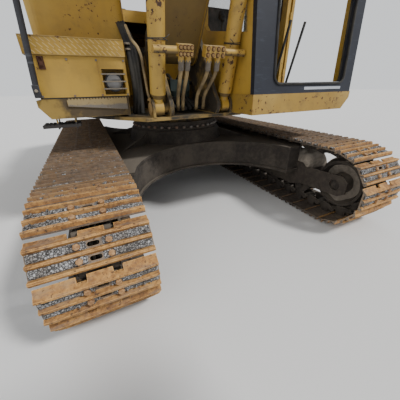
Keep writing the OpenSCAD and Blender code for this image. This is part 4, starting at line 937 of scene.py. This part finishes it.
underSetup = {
    "trackMid": 1.25,
    "wheelUp": 0.4135,
    "idlerAhead": 1.9,
    "ringBolts": (40, 0.585, 0.912),           # how many, circle, up
    "ringBolt": (0.036, 0.022),
    "driveBolts": [(16, 0.165, 0.139, 0.026, 0.014),
                   (6, 0.085, 0.214, 0.022, 0.012)],  # how many, circle, face, size, height
    "idlerFace": 0.108,
    "idlerPlate": (0.100, 0.010),              # radius, thickness
    "idlerBolts": 0.072,
    "idlerBolt": (0.020, 0.010),
    "swivel": [(0.10, 0.50), (0.15, 0.52), (0.15, 0.80), (0.12, 0.82), (0.12, 1.02)],
    "port": [(0.022, 0.14), (0.022, 0.19)],
    "portUps": (0.60, 0.67, 0.74),
    "driveHose": 0.016,
    "frameTop": 0.534,
    "frameHalf": 0.164,
    "slopeFrom": 1.46,
    "soilCrest": [(0.62, 0.0), (0.80, 0.045), (1.00, 0.072), (1.20, 0.104), (1.36, 0.122),
                  (1.46, 0.128), (1.535, 0.120)],
    "cake": (0.112, 0.285, 0.013, 0.050),      # inner and outer radius, base, thickness
}


def dressUndercarriage(u):
    count, circle, up = u["ringBolts"]
    ring = [at(x, a, up) for x, a in spread(count, circle)]
    build("ringBolts", boltRow(ring, (0, 0, 1), *u["ringBolt"]), "bolt", "undercarriage")
    drives, plates, caps = [], [], []
    idler, sprocket = (u["idlerAhead"], u["wheelUp"]), (-u["idlerAhead"], u["wheelUp"])
    radius, thick = u["idlerPlate"]
    for side in (-1, 1):
        x = side * u["trackMid"]
        for count, circle, face, across, height in u["driveBolts"]:
            drives += sideBolts(x + side * face, side, spread(count, circle, sprocket), across, height)
        for face in (-1, 1):
            inner = x + face * u["idlerFace"]
            outer = inner + face * thick
            plates.append(sideways(spread(5, radius, idler, 90), inner, outer))
            caps += sideBolts(outer, face, spread(5, u["idlerBolts"], idler, 90), *u["idlerBolt"])
    build("driveBolts", drives, "bolt", "undercarriage")
    build("idlerPlates", plates, "dustIron", "undercarriage", 0.003)
    build("idlerBolts", caps, "bolt", "undercarriage")
    swivel = lathe(u["swivel"], at(0, 0, 0), (0, 0, 1), 28)
    ports = [lathe(u["port"], at(0, 0, u["portUps"][k % 3]),
                   (math.cos(k * 1.05), math.sin(k * 1.05), 0), 12) for k in range(6)]
    build("swivelJoint", [swivel] + ports, "iron", "undercarriage", 0.003)
    lines = []
    for side in (-1, 1):
        for k, ahead in enumerate((-0.05, 0.05)):
            route = [(side * 0.16, ahead, 0.62 + 0.05 * k), (side * 0.50, ahead * 2, 0.60),
                     (side * 0.80, -0.5, 0.66), (side * 1.02, -1.25, 0.56)]
            lines.append(hose(route, 0.15, u["driveHose"]))
    build("driveHoses", lines, "rubber", "undercarriage")


def heap(across, half, low, slopeFrom, crest, seed):
    # soil on a track frame, which slopes down at its front: crest holds (ahead, height) along its middle
    columns, rows = 44, 10
    start, end = crest[0][0], crest[-1][0]
    top, bottom = [], []
    for j in range(columns + 1):
        a = start + (end - start) * j / columns
        rise = 0
        for (a0, h0), (a1, h1) in zip(crest, crest[1:]):
            if a0 <= a <= a1:
                rise = h0 + (h1 - h0) * (a - a0) / (a1 - a0)
        for k in range(rows + 1):
            v = 2 * k / rows - 1
            lumps = noise.noise(Vector((a * 7, v * 1.3, seed)))
            lumps += 0.5 * noise.noise(Vector((a * 22, v * 4, seed)))
            up = rise * (1 - 0.75 * v ** 4) * (1 + 0.35 * lumps)
            base = low - max(0.0, a - slopeFrom) * 0.75
            top.append(at(across + half * v, a, base + max(0.0, up)))
            bottom.append(at(across + half * v, a, base - 0.006))
    faces = []
    wide = rows + 1
    count = len(top)
    for j in range(columns):
        for k in range(rows):
            a = j * wide + k
            faces.append((a, a + wide, a + wide + 1, a + 1))
            faces.append((a + count, a + count + 1, a + count + wide + 1, a + count + wide))
    rim = [j * wide for j in range(columns + 1)] + [columns * wide + k for k in range(1, wide)]
    rim += [j * wide + rows for j in reversed(range(columns))] + [k for k in reversed(range(1, rows))]
    faces += [(b, a, a + count, b + count) for a, b in zip(rim, rim[1:] + rim[:1])]
    return top + bottom, faces


def caked(across, face, center, inner, outer, base, thick, seed):
    # soil stuck in the dished side of an end wheel
    rings, turns = 9, 56
    points = []
    for layer in (0, 1):
        for i in range(rings + 1):
            share = i / rings
            for k in range(turns):
                t = 2 * math.pi * k / turns
                reach = inner + (outer - inner) * share
                lump = 0.55 + 0.9 * noise.noise(Vector((math.cos(t) * 1.7, math.sin(t) * 1.7, seed)))
                lump += 0.35 * noise.noise(Vector((reach * 30, t * 3, seed)))
                lift = base + layer * thick * max(0.0, lump) * math.sin(math.pi * (0.12 + 0.80 * share))
                points.append(at(across + face * (lift - 0.002 * (1 - layer)),
                                 center[0] + reach * math.cos(t), center[1] + reach * math.sin(t)))
    count = (rings + 1) * turns
    faces = []
    for a, b, c, d in skin(rings, turns):
        faces += [(a, b, c, d), (a + count, d + count, c + count, b + count)]
    for ring in (0, rings):
        for k in range(turns):
            a, b = ring * turns + k, ring * turns + (k + 1) % turns
            faces.append((a, a + count, b + count, b) if ring else (a, b, b + count, a + count))
    return points, faces


def dressWithSoil(u):
    heaps, cakes = [], []
    wheel = (u["idlerAhead"], u["wheelUp"])
    for side in (-1, 1):
        x = side * u["trackMid"]
        heaps.append(heap(x, u["frameHalf"], u["frameTop"], u["slopeFrom"], u["soilCrest"], 3.1 + side))
        cakes += [caked(x, face, wheel, *u["cake"], 5.3 + side + face) for face in (-1, 1)]
    build("frameSoil", heaps, "soil", "undercarriage", sharp=60)
    build("idlerSoil", cakes, "soil", "undercarriage", sharp=60)


dressUndercarriage(underSetup)
dressWithSoil(underSetup)
print("stage: undercarriage")


# boom cylinders, their port blocks and hoses

ramFoot = Vector(joints["boom_cylinder_tilt"]["pos_m"])
ramAxis = Vector(joints["boom_rod_slide"]["axis"]).normalized()
ramFront = Vector((0, -ramAxis.z, ramAxis.y))
boomX = ramFoot.x
ramSetup = {
    "spread": 0.338,
    "portAlong": 0.464,
    "portAhead": 0.143,
    "ports": {-1: (0.130, 0.250), 1: (0.140, 0.320)},
    "bolts": 4,
    "boltRows": (-0.021, 0.021),
    "bolt": (0.021, 0.013),
    "washer": [(0.0175, -0.001), (0.0175, 0.002), (0.0155, 0.003)],
    "hose": 0.0165,
    "hoseEnds": {-1: (-0.385, -0.330), 1: (-0.060, -0.143)},
    "hoseFeet": {-1: (-0.352, -0.302), 1: (-0.084, -0.160)},
    "cuff": [(0.0225, 0), (0.0225, 0.065), (0.019, 0.07)],
    "nut": [(0.027, 0), (0.027, 0.016)],
    "bandAlong": 0.512,
    "bandRadius": 0.0695,
    "wire": 0.0028,
    "wireEnds": ((0.075, 0.030), (0.062, -0.010)),
    "collar": [(0.074, 0), (0.077, 0.004), (0.077, 0.030), (0.074, 0.034)],
    "collarAlong": 1.470,
    "headBolts": (8, 0.062, 1.560),  # how many, circle, along
    "headBolt": (0.017, 0.012),
}


def onRam(across, ahead, along):
    # a point out of a barrel's front and along its axis from the foot
    return Vector((across, ramFoot.y, ramFoot.z)) + ramFront * ahead + ramAxis * along


def dressBoomCylinders(r):
    bolts, washers, hoses, cuffs, bands, clips = [], [], [], [], [], []
    count, circle, headAlong = r["headBolts"]
    for side in (-1, 1):
        axisX = boomX + side * r["spread"]
        near, far = r["ports"][side]
        for k in range(r["bolts"]):
            x = axisX - side * (near + (far - near) * (k + 0.5) / r["bolts"])
            for lift in r["boltRows"]:
                place = onRam(x, r["portAhead"], r["portAlong"] + lift)
                bolts.append(hexBolt(place, ramFront, *r["bolt"]))
                washers.append(lathe(r["washer"], place, ramFront, 18))
        for top, foot in zip(r["hoseEnds"][side], r["hoseFeet"][side]):
            route = [onRam(top, 0.111, 0.392), onRam(top, 0.108, 0.30), at(foot, 1.13, 1.30),
                     at(foot + 0.004, 1.105, 1.215), at(foot + 0.02, 1.06, 1.175)]
            hoses.append(tube(bend(route, 0.07), r["hose"]))
            cuffs.append(lathe(r["cuff"], onRam(top, 0.1105, 0.395), -ramAxis, 16))
            cuffs.append(lathe(r["nut"], onRam(top, 0.111, 0.400), -ramAxis, 6))
        for turn, along in enumerate((r["bandAlong"], r["bandAlong"] + 0.012)):
            ring = [onRam(axisX + r["bandRadius"] * math.cos(t), r["bandRadius"] * math.sin(t),
                          along + 0.006 * math.sin(t + turn))
                    for t in (2 * math.pi * k / 28 for k in range(29))]
            bands.append(tube(ring, r["wire"], 6))
        for reach, rise in r["wireEnds"]:
            tail = [onRam(axisX - side * 0.03, 0.068, along),
                    onRam(axisX - side * 0.05, 0.088, along + rise * 0.4),
                    onRam(axisX - side * reach, 0.080, along + rise)]
            bands.append(tube(bend(tail, 0.01), r["wire"], 6))
        clips.append(lathe(r["collar"], onRam(axisX, 0, r["collarAlong"]), ramAxis, 32))
        heads = [onRam(x, ahead, headAlong) for x, ahead in spread(count, circle, (axisX, 0), 180 / count)]
        clips += boltRow(heads, ramAxis, *r["headBolt"])
    for name, shapes, look in (("portBolts", bolts, "rustBolt"), ("portWashers", washers, "rustStain"),
                               ("boomHoses", hoses, "tanHose"), ("hoseCuffs", cuffs, "dustIron"),
                               ("wireBands", bands, "plastic")):
        build(name, shapes, look, "boom_cylinders")
    build("barrelCollars", clips, "chippedYellow", "boom_cylinders", 0.001)


dressBoomCylinders(ramSetup)
print("stage: boom cylinders")


# right side of the house

rightSetup = {
    "boxLeft": -1.45,
    "boxRight": -0.755,
    "boxFront": 0.958,
    "lidFront": 0.972,
    "lidLow": 1.605,
    "lidHigh": 1.718,
    "lidEdges": ((1.6005, 1.6085), (1.714, 1.7215)),
    "bars": {"pitch": 0.038, "rows": 3, "length": 0.052, "width": 0.0075, "slant": -43},
    "lamp": (-0.868, 1.416),
    "lampFace": 0.911,
    "lampGlass": [(0.067, 0), (0.062, 0.010), (0.045, 0.018), (0.020, 0.023), (0.001, 0.024)],
    "lampRim": [(0.066, 0), (0.075, 0.001), (0.077, 0.006), (0.074, 0.011), (0.066, 0.010)],
    "latch": -1.375,
    "latchPlates": ((0.022, -0.001, 0.006, 1.505, 1.592),
                    (0.012, 0.005, 0.020, 1.530, 1.560)),  # half width, from, to, low, high
    "latchLoop": ((-1, 1.545), (-1, 1.588), (1, 1.588), (1, 1.545)),
    "boxBolts": ((-1.43, -1.20, -0.985, -0.77), (1.318, 1.575)),
    "boxBolt": (0.016, 0.007),
    "seams": ((-1.446, -1.438, -0.001, 0.005, 1.31, 1.598),
              (-0.985, -0.979, -0.001, 0.004, 1.31, 1.598)),
    "looseHose": [(-0.596, 1.05, 1.150), (-0.600, 1.10, 1.235), (-0.622, 1.10, 1.330),
                  (-0.640, 1.09, 1.600), (-0.655, 1.06, 1.668), (-0.688, 1.00, 1.725),
                  (-0.702, 0.92, 1.830)],
    "bayHose": 0.022,
    "clamp": [(0.024, 0), (0.026, 0.002), (0.026, 0.012), (0.024, 0.014)],
    "clampsUp": (1.70, 1.66),
    "railBolt": (-1.450, 1.360),
}


def chequer(x0, x1, ahead, up0, up1, b):
    # slanted raised bars on a front face
    turn = math.radians(b["slant"])
    slant = Vector((math.cos(turn), 0, math.sin(turn))) * (b["length"] / 2)
    across = Vector((-math.sin(turn), 0, math.cos(turn))) * (b["width"] / 2)
    bars = []
    for row in range(b["rows"]):
        for column in range(int((x1 - x0) / b["pitch"])):
            center = at(x0 + (column + 0.5 + 0.5 * (row % 2)) * b["pitch"], ahead - 0.001,
                        up0 + (row + 0.5) * (up1 - up0) / b["rows"])
            outline = [center + slant * i + across * j
                       for i, j in ((-1, 0), (-0.7, 1), (0.7, 1), (1, 0), (0.7, -1), (-0.7, -1))]
            bars.append(extrude(outline, (0, -0.0035, 0)))
    return bars


def dressRightSide(s):
    left, right, front, lid = s["boxLeft"], s["boxRight"], s["boxFront"], s["lidFront"]
    bars = chequer(left - 0.015, right - 0.01, lid, s["lidLow"], s["lidHigh"], s["bars"])
    build("lidChequer", bars, "wornYellow", "toolbox_lid")
    edges = [block(left - 0.024, right + 0.004, lid - 0.004, lid + 0.0045, *ups) for ups in s["lidEdges"]]
    build("lidEdges", edges, "dullYellow", "toolbox_lid", 0.0015)
    lamp = at(s["lamp"][0], s["lampFace"], s["lamp"][1])
    build("lampGlass", [lathe(s["lampGlass"], lamp, (0, -1, 0), 32)], "lampLens", "house")
    build("lampRim", [lathe(s["lampRim"], lamp, (0, -1, 0), 40)], "railDark", "house")
    x = s["latch"]
    latch = [block(x - half, x + half, front + a0, front + a1, *ups)
             for half, a0, a1, *ups in s["latchPlates"]]
    latch.append(hose([(x + side * 0.013, front + 0.012, z) for side, z in s["latchLoop"]], 0.012, 0.004))
    build("boxLatch", latch, "rustStain", "house", 0.001)
    places = [at(x, front, z) for x in s["boxBolts"][0] for z in s["boxBolts"][1]]
    build("boxBolts", boltRow(places, (0, -1, 0), *s["boxBolt"]), "bolt", "house")
    seams = [block(x0, x1, front + a0, front + a1, *ups) for x0, x1, a0, a1, *ups in s["seams"]]
    build("boxSeams", seams, "yellow", "house", 0.001)
    # painted shade: a dark rubber strip at the toolbox's foot stands in for the shadow in the gap between
    # toolbox and platform
    foot = block(left + 0.002, right - 0.004, front - 0.004, front + 0.003, 1.2985, 1.3075)
    build("boxGapShade", [foot], "rubber", "house", 0.001)
    build("looseHose", [hose(s["looseHose"], 0.022, 0.0115)], "tanHose", "house")
    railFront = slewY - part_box("grab_rail")[0][1]
    x, z = s["railBolt"]
    pad = block(x - 0.024, x + 0.024, railFront - 0.012, railFront + 0.002, z - 0.045, z + 0.040)
    build("railPad", [pad], "railDark", "house", 0.004)
    bolt = hexBolt(at(x, railFront + 0.001, z), (0, -1, 0), 0.022, 0.014)
    build("railBolt", [bolt], "lampGrey", "house")
    black = []
    for k in range(3):
        shift = 0.03 * k
        route = [(-0.70 + shift, 0.80 + 0.05 * k, 1.14), (-0.69 + shift, 0.92 - shift, 1.35),
                 (-0.71 + shift, 0.90, 1.72), (-0.70 + 0.02 * k, 0.55, 1.92)]
        black.append(hose(route, 0.14, s["bayHose"]))
    build("bayHoses", black, "rubber", "house")
    clamps = [lathe(s["clamp"], at(-0.709, 0.902, up), (0, -0.05, 1), 18) for up in s["clampsUp"]]
    build("hoseClamps", clamps, "lampGrey", "house")


dressRightSide(rightSetup)
print("stage: right side")


# middle bay

baySetup = {
    "floorUp": 1.13,
    "motor": (-0.160, 0.600),
    "flangeBolts": (12, 0.145),  # how many, circle
    "flangeBolt": (0.026, 0.016),
    "topBolts": [(-0.09, -0.075), (-0.09, 0.075), (0.09, -0.075), (0.09, 0.075)],
    "topBolt": (0.024, 0.016),
    "topUp": 1.44,
    "valveHose": 0.018,
    "motorHose": 0.014,
    "pinFace": 0.403,
    "pinCap": [(0.052, 0), (0.052, 0.012), (0.047, 0.015)],
    "pinPlate": [(1.115, 1.195), (1.145, 1.195), (1.145, 1.29), (1.115, 1.29)],
    "pinBolt": (0.022, 0.012),
    "cheekEdges": (0.219, 0.254),
}


def dressBay(b):
    x, a = b["motor"]
    flange = [at(*place, b["floorUp"] + 0.04) for place in spread(*b["flangeBolts"], b["motor"])]
    top = [at(x + dx, a + da, b["topUp"]) for dx, da in b["topBolts"]]
    bolts = boltRow(flange, (0, 0, 1), *b["flangeBolt"]) + boltRow(top, (0, 0, 1), *b["topBolt"])
    build("motorBolts", bolts, "bolt", "house")
    hoses = []
    for k in range(6):
        start = boomX - 0.17 + 0.068 * k
        foot = boomX - 0.13 + 0.052 * k
        route = [(start, -0.17, 1.50), (start, -0.07, 1.53),
                 (boomX - 0.15 + 0.06 * k, 0.20, 1.42 - 0.02 * (k % 2)),
                 (foot, 0.75, 1.30 - 0.03 * (k % 3)), (foot, 1.02, 1.175)]
        hoses.append(hose(route, 0.12, b["valveHose"]))
    build("valveHoses", hoses, "rubber", "house")
    lines = [hose([(x + 0.11, a + 0.03 * k, 1.40), (x + 0.17, a + 0.03 * k, 1.42),
                   (x + 0.19, a - 0.25, 1.36), (0.0, -0.15, 1.45)], 0.06, b["motorHose"])
             for k in (-1, 1)]
    build("motorHoses", lines, "rubber", "house")
    keepers, welds = [], []
    for side in (-1, 1):
        outer = boomX + side * b["pinFace"]
        keepers.append(lathe(b["pinCap"], at(outer, 1.13, 1.20), (side, 0, 0), 28))
        keepers.append(sideways(b["pinPlate"], outer, outer + side * 0.010))
        keepers += sideBolts(outer + side * 0.010, side, [(1.13, 1.272)], *b["pinBolt"])
        for edge in b["cheekEdges"]:
            cheek = boomX + side * edge
            welds.append(tube([at(cheek, 1.17 - 0.02 * k, 1.1315) for k in range(0, 60, 2)], 0.006, 6))
    build("ramPinKeepers", keepers, "rustBolt", "house", 0.001)
    build("cheekWelds", welds, "dullYellow", "house")


dressBay(baySetup)
print("stage: middle bay")


# cab

cabSetup = {
    "inner": 0.205,
    "outer": 1.485,
    "front": 1.526,
    "floor": 1.30,
    "lean": 5.0,
    "wall": 0.05,
    "openLow": 0.080,
    "openHigh": 1.556,
    "openLeft": 0.420,
    "openRight": 1.350,
    "corner": 0.070,
    "sillStrip": (0.80, 1.32, 0.028, 0.052),      # across from and to, along the frame from and to
    "sillRod": (0.74, 0.90, 1.31),
    "mat": (0.30, 1.42, -0.15, 1.44, 1.300, 1.308),
    "trims": ((0.2555, 0.262, 0.60, 1.36, 1.42, 1.74), (0.30, 1.40, -0.199, -0.193, 1.42, 2.05)),
    "seatMid": 0.81,
    "leverReach": 0.36,
    "grip": [(0.020, 0), (0.033, 0.015), (0.036, 0.045), (0.026, 0.075), (0.010, 0.082)],
    "fold": [(0.024, -0.02), (0.036, -0.012), (0.024, -0.004)],
    "armRests": ((0.575, 0.620), (1.000, 1.045)),
    "belt": [(0.57, 0.05, 1.70), (0.56, 0.20, 1.78), (0.60, 0.42, 1.705)],
    "back": -0.25,
    "sideGlass": {"outer": (-0.12, 2.10, 0.366, 2.79), "inner": (-0.12, 2.10, 0.420, 2.79)},
    "rearGlass": (0.395, 2.08, 1.295, 2.81),
    "glassCorner": 0.05,
    "seal": 0.011,
    "gutter": [(1.492, 1.30, 2.962), (1.492, -0.24, 2.962)],
    "doorPanel": (1.5165, 1.523, -0.224, 0.426, 1.40, 2.02),
}


def onFront(c, across, rise, ahead=0.0):
    # a point on the leaning front frame: across, up along the frame, and out of its face
    lean = math.radians(c["lean"])
    return at(across, c["front"] - rise * math.sin(lean) + ahead * math.cos(lean),
              c["floor"] + rise * math.cos(lean) + ahead * math.sin(lean))


def roundedLoop(x0, z0, x1, z1, r, steps=5):
    places = []
    for cx, cz, start in ((x1 - r, z0 + r, -90), (x1 - r, z1 - r, 0), (x0 + r, z1 - r, 90),
                          (x0 + r, z0 + r, 180)):
        places += arc((cx, cz), r, start, start + 90, steps)
    return places + places[:1]


def dressCab(c):
    loop = roundedLoop(c["openLeft"], c["openLow"], c["openRight"], c["openHigh"], c["corner"])
    seal = tube([onFront(c, x, z, 0.002) for x, z in loop], 0.012, 10)
    inner = tube([onFront(c, x, z, -0.047) for x, z in loop], 0.010, 8)
    build("frontSeal", [seal, inner], "rubber", "house")
    rod = tube([onFront(c, x, 0.090, -0.020) for x in c["sillRod"]], 0.007, 8)
    x0, x1, low, high = c["sillStrip"]
    corners = ((x0, low), (x1, low), (x1, high), (x0, high))
    strip = ([onFront(c, x, z, a) for a in (-0.001, 0.0035) for x, z in corners],
             [(0, 1, 2, 3), (7, 6, 5, 4), (0, 4, 5, 1), (1, 5, 6, 2), (2, 6, 7, 3), (3, 7, 4, 0)])
    build("sillStrips", [rod, strip], "sill", "house", 0.001)
    build("floorMat", [block(*c["mat"])], "rubber", "house", 0.002)
    build("cabTrims", [block(*trim) for trim in c["trims"]], "trim", "house", 0.002)
    grips = []
    for side in (-1, 1):
        x = c["seatMid"] + side * c["leverReach"]
        grips.append(lathe(c["grip"], at(x, 0.50, 2.035), (0, 0, 1), 18))
        grips += [lathe(c["fold"], at(x, 0.505, 1.86 - 0.015 * k), (0, 0, 1), 18) for k in range(5)]
    build("leverGrips", grips, "plastic", "house")
    rests = [block(x0, x1, 0.02, 0.44, 1.80, 1.835) for x0, x1 in c["armRests"]]
    build("armRests", rests, "plastic", "house", 0.01, 3)
    build("seatBelt", [hose(c["belt"], 0.1, 0.010, 6)], "plastic", "house")


def dressCabSides(c):
    loops = []
    for wall, way in (("outer", 1), ("inner", -1)):
        places = roundedLoop(*c["sideGlass"][wall], c["glassCorner"])
        for x in (c[wall] + way * 0.001, c[wall] - way * (c["wall"] + 0.001)):
            loops.append(tube([at(x, a, z) for a, z in places], c["seal"], 8))
    rear = [at(x, c["back"] - 0.001, z) for x, z in roundedLoop(*c["rearGlass"], c["glassCorner"])]
    loops.append(tube(rear, c["seal"], 8))
    build("windowSeals", loops, "rubber", "house")
    build("rainGutter", [hose(c["gutter"], 0.02, 0.012, 8)], "yellow", "house")
    build("doorPanel", [block(*c["doorPanel"])], "yellow", "cab_door", 0.004)


dressCab(cabSetup)
dressCabSides(cabSetup)
print("stage: cab")


# doors, hood and tail

doorSetup = {
    "face": 1.450,
    "slotFront": -0.985,
    "slotBack": -1.485,
    "slotLow": 1.530,
    "slotStep": 0.040,
    "slots": 10,
    "blade": [(-0.001, 0.014), (-0.001, 0.027), (0.006, 0.021), (0.013, 0.005), (0.011, 0.004)],
    "latchAhead": -1.90,
    "latchPlates": ((-0.001, 0.005, 0.045, 1.70, 1.80),
                    (0.004, 0.013, 0.028, 1.715, 1.775)),  # out from and to, half length, low, high
    "folds": ((-1.955, -1.945, 1.41, 2.12), (-0.83, -0.82, 1.41, 2.12),
              (-1.955, -0.82, 2.105, 2.115), (-1.955, -0.82, 1.412, 1.422)),  # ahead, up
    "gripUp": (2.308, 2.345),
    "tailRadius": 2.900,
    "tailBolts": ((-0.62, 0.62), (1.45, 2.00)),
    "tailWasher": [(0.062, -0.004), (0.062, 0.004), (0.054, 0.009)],
    "seals": (-1.44, 1.40),
    "sideBolts": [((-0.66, -0.72), (1.36, 1.62, 1.88, 2.14)),
                  ((-0.95, -1.25, -1.55, -1.85, -2.06), (1.335,))],
    "sideBolt": (0.020, 0.009),
    "tailBolt": (0.046, 0.022),
    "stack": (-1.0, -1.565, 2.33),
    "stackClamp": [(0.056, 0), (0.060, 0.002), (0.060, 0.022), (0.056, 0.024)],
}


def dressDoors(d):
    for side, letter in ((1, "l"), (-1, "r")):
        x = side * d["face"]
        door = "service_door_" + letter
        depth = d["slotFront"] - d["slotBack"] + 0.008
        blades = []
        for k in range(d["slots"]):
            z = d["slotLow"] + k * d["slotStep"]
            profile = [at(x + side * out, d["slotFront"] + 0.004, z + rise) for out, rise in d["blade"]]
            blades.append(extrude(profile, (0, depth, 0)))
        build("louvres_" + letter, blades, "yellow", door, 0.001)
        a = d["latchAhead"]
        latch = [block(*sorted((x + side * out0, x + side * out1)), a - half, a + half, *ups)
                 for out0, out1, half, *ups in d["latchPlates"]]
        latch += sideBolts(x + side * 0.004, side, [(a + da, z) for da in (-0.036, 0.036)
                                                    for z in (1.708, 1.792)], 0.012, 0.005)
        build("doorLatch_" + letter, latch, "railDark", door, 0.001)
        thick = sorted((x - side * 0.001, x + side * 0.005))
        build("doorFolds_" + letter, [block(*thick, *fold) for fold in d["folds"]], "yellow", door, 0.001)
    low, high = d["gripUp"]
    for x in (-0.42, 0.42):
        route = [(x - 0.07, -0.80, low), (x - 0.07, -0.80, high), (x + 0.07, -0.80, high),
                 (x + 0.07, -0.80, low)]
        build("hoodGrip" + ("R" if x < 0 else "L"), [hose(route, 0.02, 0.008)], "railDark", "hood")
    plugs = []
    for x in d["tailBolts"][0]:
        ahead = -math.sqrt(d["tailRadius"] ** 2 - x * x)
        aim = Vector((x, -ahead, 0)).normalized()
        for z in d["tailBolts"][1]:
            plugs.append(lathe(d["tailWasher"], at(x, ahead, z), aim, 28))
            plugs.append(hexBolt(at(x, ahead, z) + aim * 0.008, aim, *d["tailBolt"]))
    build("tailBolts", plugs, "bolt", "house")
    seam = [block(x0, x0 + 0.04, -2.121, -2.119, 1.31, 2.24) for x0 in d["seals"]]
    build("tailSeal", seam, "rubber", "house")
    rows = []
    for aheads, ups in d["sideBolts"]:
        for side in (-1, 1):
            places = [(a, z) for a in aheads for z in ups]
            rows += sideBolts(side * d["face"], side, places, *d["sideBolt"])
    build("housingBolts", rows, "bolt", "house")
    clampRing = lathe(d["stackClamp"], at(*d["stack"]), (0, 0, 1), 28)
    build("stackClamp", [clampRing], "bolt", "house")


dressDoors(doorSetup)
print("stage: doors and tail")


# boom, stick and bucket

armSetup = {
    "boomHalf": 0.210,
    "pipe": 0.015,
    "pipeRoute": [(0.56, 0.34), (0.95, 0.56), (1.75, 0.965), (2.30, 1.085), (2.66, 1.080),
                  (3.05, 0.90), (4.30, 0.34)],
    "pipeClamps": [(0.95, 0.56), (1.40, 0.787), (1.95, 1.008), (3.05, 0.90), (3.60, 0.653),
                   (4.15, 0.407)],
    "pipeGap": 0.042,
    "pipeBend": 0.12,
    "fitting": [(0.023, -0.03), (0.023, 0.03)],
    "clampHalf": 0.03,
    "clampBolt": (0.022, 0.012),
    "pinCap": [(0.048, -0.002), (0.048, 0.010), (0.042, 0.014)],
    "keepers": [("tipKeepers", "stick", "boom", 0.238, 0.13, 0.7),
                ("bucketKeepers", "bucket", "bucket", 0.2605, 0.11, 2.4),
                ("rockerKeepers", "rocker_swing", "rocker", 0.2085, 0.10, -0.5)],
}


def along(start, end):
    # a frame in the side view from start towards end, both (across, back, up) places
    reach = Vector(end) - Vector(start)
    aim = reach.normalized()
    rise = Vector((0, aim.z, -aim.y))
    return lambda across, run, lift: Vector((boomX + across, start[1], start[2])) + aim * run + rise * lift


onBoom = along(joints["boom"]["pos_m"], joints["stick"]["pos_m"])


def keeper(profile, joint, across, side, reach, turn):
    # a pin's end cap with its locking plate and bolt
    cap = Vector((boomX + side * across, *joint[1:]))
    out = Vector((side, 0, 0))
    lean = Vector((0, math.sin(turn), math.cos(turn)))
    flat = Vector((0, math.cos(turn), -math.sin(turn))) * 0.022
    plate = [cap + flat - lean * 0.01, cap + flat + lean * reach, cap - flat + lean * reach,
             cap - flat - lean * 0.01]
    return [lathe(profile, cap, out, 24), extrude(plate, out * 0.009),
            hexBolt(cap + lean * (reach - 0.024) + out * 0.008, out, 0.024, 0.013)]


def dressArm(a):
    pipes, clamps = [], []
    half, gap, past = a["boomHalf"], a["pipeGap"], a["clampHalf"]
    for side in (-1, 1):
        for row in (0, 1):
            route = [onBoom(side * (half + 0.020), run, lift - row * gap) for run, lift in a["pipeRoute"]]
            pipes.append(tube(bend(route, a["pipeBend"]), a["pipe"]))
            for end, following in ((route[0], route[1]), (route[-1], route[-2])):
                pipes.append(lathe(a["fitting"], end, following - end, 6))
        x0, x1 = sorted((side * (half - 0.002), side * (half + 0.042)))
        for run, lift in a["pipeClamps"]:
            corners = [onBoom(x0, run + dr, lift + dl) for dr, dl in
                       ((-past, past), (past, past), (past, -past - gap), (-past, -past - gap))]
            clamps.append(extrude(corners, (x1 - x0, 0, 0)))
            clamps.append(hexBolt(onBoom(side * (half + 0.041), run, lift - gap / 2), (side, 0, 0),
                                  *a["clampBolt"]))
    build("boomPipes", pipes, "railDark", "boom")
    build("boomPipeClamps", clamps, "railDark", "boom", 0.002)
    for name, pin, body, across, reach, turn in a["keepers"]:
        caps = []
        for side in (-1, 1):
            caps += keeper(a["pinCap"], joints[pin]["pos_m"], across, side, reach, turn)
        build(name, caps, "rustBolt", body, 0.001)


dressArm(armSetup)
print("stage: boom and stick")
